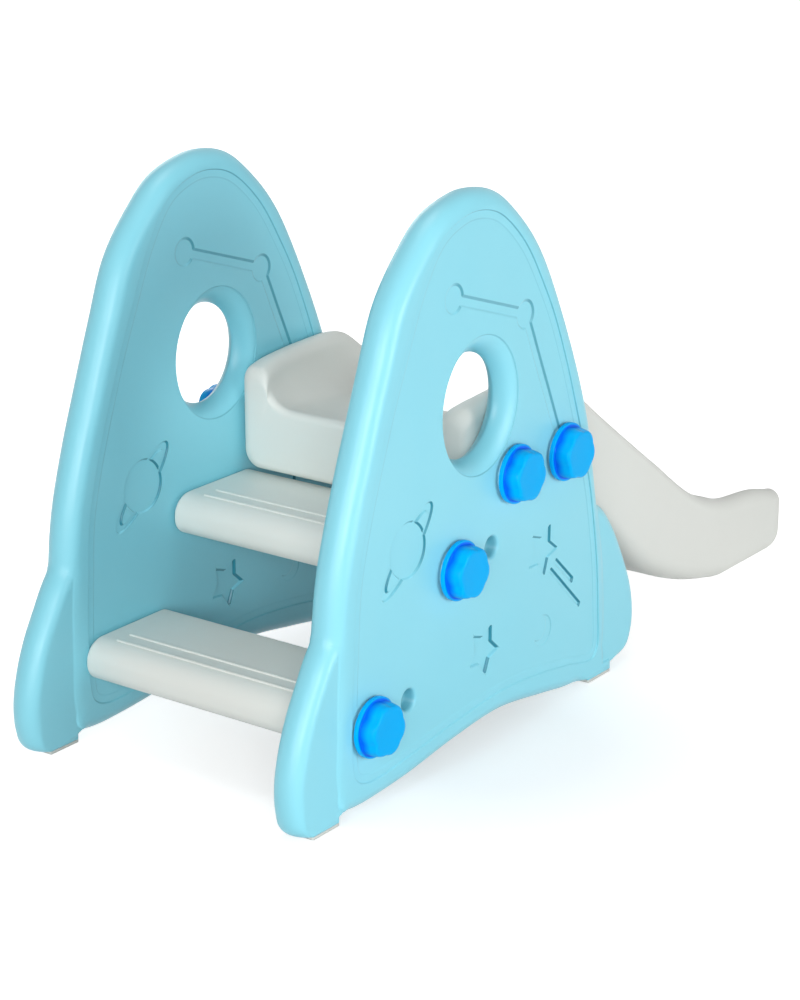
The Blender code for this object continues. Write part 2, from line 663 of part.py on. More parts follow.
def fasteners(base):
    """A screw, a washer and an insert on each screw axis of both sides."""
    for side_name, side in SIDES.items():
        for axis_name, axis in {**STEP_SCREW_AXES, **SEAT_SCREW_AXES}.items():
            turn = -side * WASHER_TURNS[axis_name]
            place(hand_screw(f"{axis_name}_screw_{side_name}"), base, axis, side)
            place(hexagonal_washer(f"{axis_name}_washer_{side_name}", turn), base, axis, side)
            place(threaded_insert(f"{axis_name}_insert_{side_name}"), base, axis, side)


def main():
    clear_scene()
    base = bpy.data.objects.new("slide", None)
    bpy.context.scene.collection.objects.link(base)
    base.location.x = -DRAWN_CENTRE_X
    right = side_panel("right_side_panel")
    left = mirrored(right, "left_side_panel")
    for panel, side in ((right, -1), (left, 1)):
        panel.parent = base
        panel.location.y = side * HALF_OUTER
    for end_name, span in PAD_SPANS.items():
        pad = foot_pad(f"{end_name}_foot_pad_right", span, PAD_SET_BACKS[end_name])
        twin = mirrored(pad, f"{end_name}_foot_pad_left")
        for item, side in ((pad, -1), (twin, 1)):
            item.parent = base
            item.location.y = side * HALF_OUTER
    for name, axis in STEP_SCREW_AXES.items():
        tread = step(name)
        tread.parent = base
        tread.location = (axis[0], 0, axis[1])
    seat_and_chute("slide_chute").parent = base
    fasteners(base)


main()
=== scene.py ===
"""Toddler climber slide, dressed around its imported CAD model.

Metres. X runs from the rear feet towards the foot of the chute, Y from the right panel to the left
one, Z up. Profiles are drawn from the rear foot, as X and Z, and moved by DRAWN_CENTRE_X into place.
"""

import logging
import math
from collections.abc import Callable, Iterable, Sequence
from dataclasses import dataclass, field
from enum import Enum

import bmesh
import bpy
import numpy as np
from mathutils import Matrix, Vector
from mathutils.geometry import delaunay_2d_cdt
from mathutils.kdtree import KDTree


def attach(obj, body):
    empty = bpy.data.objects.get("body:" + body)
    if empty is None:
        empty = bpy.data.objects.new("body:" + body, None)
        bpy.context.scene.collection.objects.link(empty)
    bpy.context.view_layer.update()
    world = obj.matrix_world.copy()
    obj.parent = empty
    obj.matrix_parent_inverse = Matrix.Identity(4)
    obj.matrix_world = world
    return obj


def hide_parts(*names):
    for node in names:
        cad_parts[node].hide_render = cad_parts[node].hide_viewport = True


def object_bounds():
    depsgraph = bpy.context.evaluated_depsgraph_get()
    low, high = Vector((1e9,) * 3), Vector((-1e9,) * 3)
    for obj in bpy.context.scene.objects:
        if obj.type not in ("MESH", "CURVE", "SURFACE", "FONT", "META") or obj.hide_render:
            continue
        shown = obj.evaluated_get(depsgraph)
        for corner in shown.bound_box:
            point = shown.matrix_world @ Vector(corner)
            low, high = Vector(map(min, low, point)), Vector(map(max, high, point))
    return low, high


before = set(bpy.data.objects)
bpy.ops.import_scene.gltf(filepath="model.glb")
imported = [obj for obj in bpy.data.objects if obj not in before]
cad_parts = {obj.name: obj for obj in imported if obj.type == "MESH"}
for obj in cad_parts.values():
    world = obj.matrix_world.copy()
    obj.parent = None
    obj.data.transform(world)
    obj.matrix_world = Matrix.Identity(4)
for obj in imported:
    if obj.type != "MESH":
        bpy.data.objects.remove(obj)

Array = np.ndarray
Colour = tuple[float, float, float]
Point2 = tuple[float, float]
Point3 = tuple[float, float, float]
Reach = Callable[[Array], Array]
Edge = tuple[int, int, int]
Piece = bpy.types.Object
Material = bpy.types.Material
Tree = bpy.types.NodeTree
Node = bpy.types.Node
Socket = bpy.types.NodeSocket

LOG = logging.getLogger("climber_slide")
CAD_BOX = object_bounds()

MM = 0.001
DRAWN_CENTRE_X = 0.5955
CLEAR_WIDTH = 0.3588
PANEL_THICKNESS = 0.046
CONTACT_GAP = 0.0003
HALF_CLEAR = CLEAR_WIDTH / 2
HALF_OUTER = HALF_CLEAR + PANEL_THICKNESS
PANEL_MIDDLE = HALF_CLEAR + PANEL_THICKNESS / 2
FIN_SET_BACK = 0.0025
PAD_THICKNESS = 0.0045
PAD_TOP = PAD_THICKNESS + CONTACT_GAP
PEG_OFFSET: Point2 = (0.076, 0.006)
SEARCH_STEP = 2e-5
GENTLE_STEP = 5e-5
POINTS_AT_ONCE = 4096
LOBE_SOFTNESS = 0.03


class Side(Enum):
    """The two sides of the slide, as the sign of their Y."""

    RIGHT = -1
    LEFT = 1

    @property
    def word(self) -> str:
        """The side's name in the CAD nodes."""
        return self.name.lower()


class ScrewPlace(Enum):
    """Where the hand screws go: drawn X and Z of the axis, and the turn of the washer's corner."""

    LOWER_STEP = (0.112, 0.105, -95.0)
    UPPER_STEP = (0.282, 0.247, -95.0)
    SEAT_REAR = (0.402, 0.336, -100.0)
    SEAT_FRONT = (0.513, 0.336, 0.0)

    @property
    def word(self) -> str:
        """The place's name in the CAD nodes."""
        return self.name.lower()

    @property
    def axis(self) -> Point2:
        """Drawn X and Z of the screw's axis."""
        return self.value[0], self.value[1]

    @property
    def peg(self) -> Point2:
        """Drawn X and Z of the locating peg beside the screw of a step."""
        return self.value[0] + PEG_OFFSET[0], self.value[1] + PEG_OFFSET[1]


STEP_PLACES = (ScrewPlace.LOWER_STEP, ScrewPlace.UPPER_STEP)


class Slot(Enum):
    """The record's material slots."""

    PANEL = "panel_blue"
    MOULDING = "moulding_grey"
    SCREW = "screw_blue"
    WASHER = "washer_navy"
    INSERT = "insert_white"
    PAD = "pad_grey"


# Curves and distances.


def smooth_outline(landmarks: Sequence[Point2], steps: int = 10) -> Array:
    """Draws a closed centripetal Catmull-Rom curve.

    Args:
        landmarks: Points that the curve passes through, in order.
        steps: How many points it gets for each landmark.

    Returns:
        The curve's points, one row each.
    """
    marks = np.array(landmarks, float)
    count = len(marks)
    share = np.linspace(0, 1, steps, endpoint=False)[:, None]
    made = []
    for i in range(count):
        level = [marks[(i + k) % count] for k in (-1, 0, 1, 2)]
        knots = [0.0]
        for a, b in zip(level, level[1:]):
            knots.append(knots[-1] + math.sqrt(np.linalg.norm(b - a)))
        t = knots[1] + (knots[2] - knots[1]) * share
        for width in (1, 2, 3):
            nearer = []
            for k in range(4 - width):
                low, high = (knots[k], knots[k + width]) if width < 3 else (knots[1], knots[2])
                mix = (t - low) / (high - low)
                nearer.append(level[k] * (1 - mix) + level[k + 1] * mix)
            level = nearer
        made.append(level[0])
    return np.vstack(made)


def inside_outline(outline: Array, points: Array) -> Array:
    """Tells which points lie inside a closed outline.

    Args:
        outline: The outline's points, in order.
        points: The points to test.

    Returns:
        True for each point inside.
    """
    start, end = outline, np.roll(outline, -1, axis=0)
    rise = end[:, 1] - start[:, 1]
    rise = np.where(rise == 0, 1e-15, rise)
    found = np.zeros(len(points), bool)
    for block in range(0, len(points), POINTS_AT_ONCE):
        p = points[block : block + POINTS_AT_ONCE, None]
        crosses = (start[:, 1] > p[..., 1]) != (end[:, 1] > p[..., 1])
        at_x = start[:, 0] + (p[..., 1] - start[:, 1]) * (end - start)[:, 0] / rise
        found[block : block + POINTS_AT_ONCE] = (crosses & (p[..., 0] < at_x)).sum(1) % 2 == 1
    return found


def outline_reach(outline: Array) -> Reach:
    """Makes the signed distance to a closed outline.

    Args:
        outline: The outline's points, in order.

    Returns:
        A function of points that gives how far each is inside the outline, below zero outside it.
    """
    start = outline.astype(np.float32)
    run = np.roll(start, -1, axis=0) - start
    length = np.maximum((run**2).sum(1), 1e-16)

    def reach(points: Array) -> Array:
        """Measures how far inside the outline points are.

        Args:
            points: The points, as X and Z.

        Returns:
            The signed distance of each.
        """
        gap = np.empty(len(points))
        for block in range(0, len(points), POINTS_AT_ONCE):
            p = points[block : block + POINTS_AT_ONCE].astype(np.float32)
            away_x = p[:, None, 0] - start[:, 0]
            away_z = p[:, None, 1] - start[:, 1]
            share = np.clip((away_x * run[:, 0] + away_z * run[:, 1]) / length, 0, 1)
            away_x -= share * run[:, 0]
            away_z -= share * run[:, 1]
            gap[block : block + POINTS_AT_ONCE] = np.sqrt((away_x**2 + away_z**2).min(1))
        return np.where(inside_outline(outline, points), gap, -gap)

    return reach


def disc_reach(centre: Point2, radius: float) -> Reach:
    """Signed distance to a disc, positive inside it."""
    return lambda points: radius - np.hypot(points[:, 0] - centre[0], points[:, 1] - centre[1])


def bar_reach(start: Point2, end: Point2, half_width: float) -> Reach:
    """Makes the signed distance to a straight bar with round ends.

    Args:
        start: One end of the bar's middle line.
        end: Its other end.
        half_width: Half the bar's width.

    Returns:
        A function of points that gives how far each is inside the bar.
    """
    first = np.array(start)
    run = np.array(end) - first

    def reach(points: Array) -> Array:
        """How far inside the bar each point is."""
        share = np.clip((points - first) @ run / (run @ run), 0, 1)
        return half_width - np.linalg.norm(points - first - share[:, None] * run, axis=1)

    return reach


def landing_reach(pad: "FootPad", height: float = 0.020, corner: float = 2.5 * MM) -> Reach:
    """Makes the signed distance to the rounded block over a foot pad.

    Args:
        pad: The pad.
        height: Top of the block.
        corner: Radius of its corners.

    Returns:
        A function of points that gives how far each is inside the block.
    """
    low, high = np.array([pad.start, PAD_TOP]), np.array([pad.end, height])

    def reach(points: Array) -> Array:
        """How far inside the block each point is."""
        past = np.abs(points - (low + high) / 2) - (high - low) / 2 + corner
        return corner - np.linalg.norm(np.maximum(past, 0), axis=1) - np.minimum(past.max(1), 0)

    return reach


def blended(shape: Reach, other: Reach, reach: float = 4 * MM) -> Reach:
    """Two shapes given by signed distances, run together smoothly."""
    return lambda points: smooth_max(shape(points), other(points), reach)


def any_of(*shapes: Reach) -> Reach:
    """The union of shapes given by signed distances."""
    return lambda points: np.max([shape(points) for shape in shapes], axis=0)


def without(shape: Reach, cut: Reach) -> Reach:
    """A shape with another cut from it, both given by signed distances."""
    return lambda points: np.minimum(shape(points), -cut(points))


def smooth_max(a: Array, b: Array, reach: float) -> Array:
    """The larger of two values, with the corner between them rounded over reach."""
    mix = np.clip(0.5 + 0.5 * (a - b) / reach, 0, 1)
    return b * (1 - mix) + a * mix + reach * mix * (1 - mix)


def ramp(value: Array, start: float, end: float) -> Array:
    """A smooth step from 0 at start to 1 at end."""
    t = np.clip((value - start) / (end - start), 0, 1)
    return t * t * (3 - 2 * t)


def ellipse_points(centre: Point2, half_x: float, half_z: float, count: int, tilt: float = 0) -> Array:
    """Spreads points round an ellipse.

    Args:
        centre: Its middle.
        half_x: Half its size along its own first axis.
        half_z: Half its size along its second axis.
        count: How many points it gets.
        tilt: Its turn in degrees.

    Returns:
        The points, one row each.
    """
    angle = np.linspace(0, 2 * np.pi, count, endpoint=False)
    x, z = half_x * np.cos(angle), half_z * np.sin(angle)
    c, s = math.cos(math.radians(tilt)), math.sin(math.radians(tilt))
    return np.column_stack((centre[0] + c * x - s * z, centre[1] + s * x + c * z))


def star_points(centre: Point2, radius: float, inner: float, first_tip: float) -> Array:
    """Corners of a five-pointed star, from a tip at first_tip degrees, its notches at inner."""
    corners = [(math.radians(first_tip - 36 * k), (radius, inner)[k % 2]) for k in range(10)]
    return np.array([(centre[0] + r * math.cos(a), centre[1] + r * math.sin(a)) for a, r in corners])


def rise_of(value: Reach, points: Array, step: float) -> Array:
    """How much a value rises across each point, from a step before it to a step past it."""
    shifts = np.eye(2) * step
    return np.column_stack([value(points + shift) - value(points - shift) for shift in shifts])


def slope_of(reach: Reach, points: Array) -> Array:
    """The direction in which a signed distance grows, as a unit vector for each point."""
    rise = rise_of(reach, points, SEARCH_STEP)
    return rise / np.maximum(np.linalg.norm(rise, axis=1, keepdims=True), 1e-12)


def settle(reach: Reach, points: Array, rounds: int = 3) -> Array:
    """Moves points onto the line where a signed distance is zero.

    Args:
        reach: The signed distance.
        points: The points.
        rounds: How often they are moved.

    Returns:
        The moved points.
    """
    for _ in range(rounds):
        points = points - slope_of(reach, points) * reach(points)[:, None]
    return points


def resampled(loop: Array, spacing: float) -> Array:
    """Spreads points evenly along a closed line.

    Args:
        loop: The line's own points.
        spacing: About how far apart the new ones are.

    Returns:
        The new points.
    """
    closed = np.vstack((loop, loop[:1]))
    run = np.concatenate(([0], np.cumsum(np.linalg.norm(np.diff(closed, axis=0), axis=1))))
    places = np.linspace(0, run[-1], max(int(run[-1] / spacing), 8), endpoint=False)
    return np.column_stack([np.interp(places, run, closed[:, k]) for k in (0, 1)])


def far_end(edge: Edge) -> tuple[int, int]:
    """The second corner of a grid's edge, given as its first corner and 0 along X or 1 along Z."""
    return (edge[0] + 1, edge[1]) if edge[2] == 0 else (edge[0], edge[1] + 1)


def level_loops(reach: Reach, low: Point2, high: Point2, cell: float) -> list[Array]:
    """Finds the closed lines where a signed distance is zero, by marching squares.

    Args:
        reach: The signed distance.
        low: Lowest X and Z of the searched box.
        high: Highest X and Z of the searched box.
        cell: Size of the squares.

    Returns:
        The lines, each as its points in order.
    """
    xs = np.arange(low[0], high[0] + cell, cell)
    zs = np.arange(low[1], high[1] + cell, cell)
    grid = np.stack(np.meshgrid(xs, zs, indexing="ij"), axis=-1)
    value = reach(grid.reshape(-1, 2)).reshape(len(xs), len(zs))
    inside = value > 0
    links: dict[Edge, list[Edge]] = {}
    corners = inside[:-1, :-1].astype(int) + inside[1:, :-1] + inside[:-1, 1:] + inside[1:, 1:]
    for i, j in zip(*np.nonzero((corners > 0) & (corners < 4))):
        sides = ((i, j, 0), (i + 1, j, 1), (i, j + 1, 0), (i, j, 1))
        edges = [edge for edge in sides if inside[edge[:2]] != inside[far_end(edge)]]
        for a, b in zip(edges[::2], edges[1::2]):
            links.setdefault(a, []).append(b)
            links.setdefault(b, []).append(a)

    def crossing(edge: Edge) -> Array:
        """Finds where the line crosses an edge of the grid.

        Args:
            edge: The edge.

        Returns:
            The crossing's X and Z.
        """
        near, far = edge[:2], far_end(edge)
        share = value[near] / (value[near] - value[far])
        return grid[near] * (1 - share) + grid[far] * share

    loops = []
    left = dict(links)
    while left:
        here = next(iter(left))
        chain: list[Edge] = []
        while here in left:
            chain.append(here)
            following = left.pop(here)
            here = next((edge for edge in following if edge in left), here)
        if len(chain) > 5:
            loops.append(np.array([crossing(edge) for edge in chain]))
    return loops


# Meshes.


def mesh_object(
    name: str, points: Array, faces: Iterable[Sequence[int]], turn_out: bool = True
) -> Piece:
    """Makes an object from points and faces.

    Args:
        name: The piece's name.
        points: Its points, one row each, in metres in the shared frame.
        faces: The points of each face.
        turn_out: Whether Blender works out which way the faces point.

    Returns:
        The object, smooth shaded, at the origin.
    """
    mesh = bpy.data.meshes.new(name)
    mesh.from_pydata(np.asarray(points).tolist(), [], [list(face) for face in faces])
    if turn_out:
        shape = bmesh.new()
        shape.from_mesh(mesh)
        bmesh.ops.remove_doubles(shape, verts=shape.verts, dist=1e-7)
        bmesh.ops.recalc_face_normals(shape, faces=shape.faces)
        shape.to_mesh(mesh)
        shape.free()
    mesh.shade_smooth()
    made = bpy.data.objects.new(name, mesh)
    bpy.context.scene.collection.objects.link(made)
    return made


def lofted(loops: Sequence[Array]) -> tuple[Array, list[list[int]]]:
    """Runs a closed skin through loops of as many points each, and fills its ends.

    Args:
        loops: The loops, in order.

    Returns:
        The skin's points and faces.
    """
    count = len(loops[0])
    faces = []
    for row in range(len(loops) - 1):
        here, there = row * count, (row + 1) * count
        for k in range(count):
            before = (k - 1) % count
            faces.append([here + before, here + k, there + k, there + before])
    faces.append(list(range(count)))
    faces.append(list(range(len(loops) * count - 1, (len(loops) - 1) * count - 1, -1)))
    return np.vstack(loops), faces


def quarter(radius: float, steps: int) -> list[Point2]:
    """The quarter round at a bar's end: distance from the end face, and how far it is drawn in."""
    angles = [math.pi / 2 * k / steps for k in range(steps + 1)]
    return [(radius * (1 - math.cos(a)), radius * (1 - math.sin(a))) for a in angles]


def arc(centre: Point2, radii: Point2, start: float, end: float, steps: int) -> list[Point2]:
    """Points of an elliptical arc between two angles in degrees."""
    angles = np.radians(np.linspace(start, end, steps + 1))
    return [(centre[0] + radii[0] * math.cos(a), centre[1] + radii[1] * math.sin(a)) for a in angles]


def slope_at(line: Sequence[Point2], k: int) -> float:
    """Finds the slope of a smooth line at a landmark, level at a crest or a dip.

    Args:
        line: The line's landmarks, as X and Z.
        k: The landmark's number.

    Returns:
        The slope, never so steep that the line overshoots.
    """
    near = line[max(k - 1, 0) : k + 2]
    rises = [(b[1] - a[1]) / (b[0] - a[0]) for a, b in zip(near, near[1:])]
    if min(rises) * max(rises) <= 0:
        return 0.0
    return len(rises) / sum(1 / rise for rise in rises)


def height_at(line: Sequence[Point2], x: float) -> float:
    """Reads the height of a smooth line.

    Args:
        line: The line's landmarks, as X and Z.
        x: Where to read it.

    Returns:
        The height there.
    """
    x = min(max(x, line[0][0]), line[-1][0])
    i = max(k for k in range(len(line) - 1) if line[k][0] <= x)
    span = line[i + 1][0] - line[i][0]
    t = (x - line[i][0]) / span
    ends = line[i][1] * (2 * t**3 - 3 * t**2 + 1) + line[i + 1][1] * (3 * t**2 - 2 * t**3)
    leaving = slope_at(line, i) * (t**3 - 2 * t**2 + t)
    arriving = slope_at(line, i + 1) * (t**3 - t**2)
    return ends + span * (leaving + arriving)


def eased(distance: float, reach: float) -> float:
    """How far a quarter round of radius reach draws a face in at a distance from its end."""
    left = max(reach - max(distance, 0), 0)
    return reach - math.sqrt(reach**2 - left**2)


def rounded_rows(
    span: Point2, half: float, corner: float, levels: Iterable[Point2], steps: int
) -> list[Array]:
    """Draws the loops of a block that stands under a panel's foot, with rounded upright corners.

    Args:
        span: Its two ends along X, from the rear foot.
        half: Half its size along Y, about Y = 0.
        corner: Radius of its corners.
        levels: Height of each loop, and how much it is drawn in.
        steps: How many steps a corner has.

    Returns:
        The loops, from the first level to the last.
    """
    made = []
    for z, inset in levels:
        radii = (max(corner - inset, 0.1 * MM),) * 2
        outline = []
        for sx, sy, start in ((1, 1, 0), (-1, 1, 90), (-1, -1, 180), (1, -1, 270)):
            centre = (span[1] - corner if sx > 0 else span[0] + corner, sy * (half - corner))
            corner_arc = arc(centre, radii, start, start + 90, steps)
            outline += [(x - DRAWN_CENTRE_X, y, z) for x, y in corner_arc]
        made.append(np.array(outline))
    return made


@dataclass
class FlatSheet:
    """A sheet in one plane, gathered as strips and loose points and then triangulated."""

    strips: list[Array] = field(default_factory=list)
    loose: list[Array] = field(default_factory=list)
    least_gap: float = 0.25 * MM
    sliver: float = 0.002

    def add_strip(self, rows: Array) -> None:
        """Adds closed rows of points: the first is a free edge, the last is joined to the sheet."""
        self.strips.append(np.asarray(rows))

    def add_points(self, points: Array) -> None:
        """Adds loose points."""
        self.loose.append(np.asarray(points).reshape(-1, 2))

    def thinned(self, points: Array, least: float) -> Array:
        """Thins points out.

        Args:
            points: The points.
            least: The least distance from one to those kept before it.

        Returns:
            The points that are kept.
        """
        taken: dict[tuple[int, int], list[Array]] = {}
        kept = []
        for point in points:
            i, j = int(point[0] // least), int(point[1] // least)
            near = [p for a in (-1, 0, 1) for b in (-1, 0, 1) for p in taken.get((i + a, j + b), ())]
            if all((p[0] - point[0]) ** 2 + (p[1] - point[1]) ** 2 > least**2 for p in near):
                taken.setdefault((i, j), []).append(point)
                kept.append(point)
        return np.array(kept)

    def triangulated(self) -> tuple[Array, list[list[int]], Array]:
        """Joins strips and loose points into one sheet.

        Returns:
            The points, the faces with their corners counter-clockwise in X and Z, and the numbers
            of the points on free edges.
        """
        loose = np.vstack(self.loose)
        for k, rows in enumerate(self.strips):
            loose = loose[inside_outline(rows[-1], loose) == (k == 0)]
        loose = self.thinned(loose, self.least_gap)
        points, faces, edge, rim_numbers, links = [], [], [], [], []
        base = 0
        for rows in self.strips:
            depth, count = rows.shape[:2]
            numbers = base + np.arange(depth * count).reshape(depth, count)
            following = np.roll(numbers, -1, axis=1)
            quads = np.stack((numbers[:-1], following[:-1], following[1:], numbers[1:]), axis=-1)
            faces.append(quads.reshape(-1, 4))
            edge.append(numbers[0])
            first = len(rim_numbers)
            links += [(first + i, first + (i + 1) % count) for i in range(count)]
            rim_numbers += numbers[-1].tolist()
            points.append(rows.reshape(-1, 2))
            base += depth * count
        points.append(loose)
        every = np.vstack(points)
        numbers = np.array(rim_numbers + list(range(base, len(every))))
        flat = [Vector(p) for p in every[numbers].tolist()]
        _, _, made, origin, _, _ = delaunay_2d_cdt(flat, links, [], 0, 1e-8)
        first_of = np.array([o[0] if o else -1 for o in origin])
        triangles = first_of[np.array([t for t in made if len(t) == 3])]
        triangles = triangles[(triangles >= 0).all(1)]
        triangles = numbers[triangles]
        side = np.roll(every[triangles], -1, axis=1) - every[triangles]
        area = np.abs(side[:, 0, 0] * side[:, 1, 1] - side[:, 0, 1] * side[:, 1, 0])
        centre = every[triangles].mean(1)
        keep = area > self.sliver * (side**2).sum(2).max(1)
        for k, rows in enumerate(self.strips):
            keep &= inside_outline(rows[-1], centre) == (k == 0)
        faces.append(triangles[keep])
        oriented = [face for group in faces for face in counter_clockwise(every, group)]
        return every, oriented, np.concatenate(edge)


def counter_clockwise(points: Array, faces: Array) -> list[list[int]]:
    """Turns flat faces round where their corners run clockwise.

    Args:
        points: The points, as X and Z.
        faces: The faces, all with as many corners.

    Returns:
        The faces, each as its corners in order.
    """
    corner = points[faces]
    ahead = np.roll(corner, -1, axis=1)
    area = (corner[..., 0] * ahead[..., 1] - ahead[..., 0] * corner[..., 1]).sum(1)
    return np.where((area < 0)[:, None], faces[:, ::-1], faces).tolist()


# Foot pads.


@dataclass(frozen=True)
class FootPad:
    """A non-slip pad pressed into the underside of a panel's foot."""

    word: str
    start: float
    end: float
    set_back: float
    corner: float = 2.2 * MM
    plug_radius: float = 0.005
    plug_length: float = 0.010
    plug_bevel: float = 1.0 * MM
    rib_height: float = 0.45 * MM
    rib_width: float = 3 * MM
    rib_room: float = 5 * MM
    rib_margin_x: float = 3 * MM
    rib_margin_y: float = 2 * MM

    @property
    def half(self) -> float:
        """Half the pad's size across the panel."""
        return PANEL_THICKNESS / 2 - self.set_back

    def rows(self) -> list[Array]:
        """Draws the pad in loops with rounded corners.

        Returns:
            The loops, from the underside to the top.
        """
        base, top = self.rib_height, PAD_THICKNESS
        levels = (
            (base, 0.8 * MM), (base + 0.3 * MM, 0.25 * MM), (base + 0.9 * MM, 0),
            (top - 0.5 * MM, 0), (top - 0.1 * MM, 0.15 * MM), (top, 0.5 * MM),
        )
        return rounded_rows((self.start, self.end), self.half, self.corner, levels, 5)

    def plug_rows(self) -> list[Array]:
        """Draws the plug that holds the pad on, in rings.

        Returns:
            The rings, from inside the pad up.
        """
        top, radius, bevel = PAD_THICKNESS + self.plug_length, self.plug_radius, self.plug_bevel
        middle = ((self.start + self.end) / 2 - DRAWN_CENTRE_X, 0.0)
        made = []
        for z, r in ((PAD_THICKNESS - MM, radius), (top - bevel, radius), (top, radius - bevel)):
            ring = ellipse_points(middle, r, r, 28)
            made.append(np.column_stack((ring, np.full(len(ring), z))))
        return made

    def build(self, side: Side, material: Material, ribs: Tree) -> None:
        """Builds the pad's one piece, with grip ribs across its underside.

        Args:
            side: The panel that it is under.
            material: Its rubber.
            ribs: The Grip Ribs tree.
        """
        piece = mesh_object(f"{self.word}_{side.word}_grip_pad", *lofted(self.rows()))
        piece.data.set_sharp_from_angle(angle=math.radians(50))
        plug = mesh_object("plug", *lofted(self.plug_rows()))
        plug.data.set_sharp_from_angle(angle=math.radians(40))
        join_into(piece, [plug])
        span = self.end - self.start
        count = int(span / self.rib_room)
        through_tree(piece, ribs, {
            "Count": count,
            "First": (self.start + self.rib_margin_x - DRAWN_CENTRE_X, 0.0, self.rib_height),
            "Spacing": (span - 2 * self.rib_margin_x) / (count - 1),
            "Length": 2 * (self.half - self.rib_margin_y),
            "Width": self.rib_width, "Height": self.rib_height, "Finish": material,
        })
        piece.data.transform(Matrix.Translation((0, side.value * PANEL_MIDDLE, 0)))
        dress(piece, material, "frame", Slot.PAD, f"{self.word}_foot_pad_{side.word}")


FOOT_PADS = (
    FootPad("rear", start=0.004, end=0.054, set_back=FIN_SET_BACK + CONTACT_GAP),
    FootPad("front", start=0.5845, end=0.638, set_back=0.0005),
)


# Side panels.


@dataclass(frozen=True)
class Recess:
    """A motif sunk into a panel's faces."""

    name: str
    shape: Reach
    low: Point2
    high: Point2
    depth: float
    wall: float = 1.0 * MM
    # Strength of the painted shade on the motif's wall.
    wall_shade: float = 1.0


def around(centre: Point2, reach: float) -> tuple[Point2, Point2]:
    """A box about a point."""
    return (centre[0] - reach, centre[1] - reach), (centre[0] + reach, centre[1] + reach)


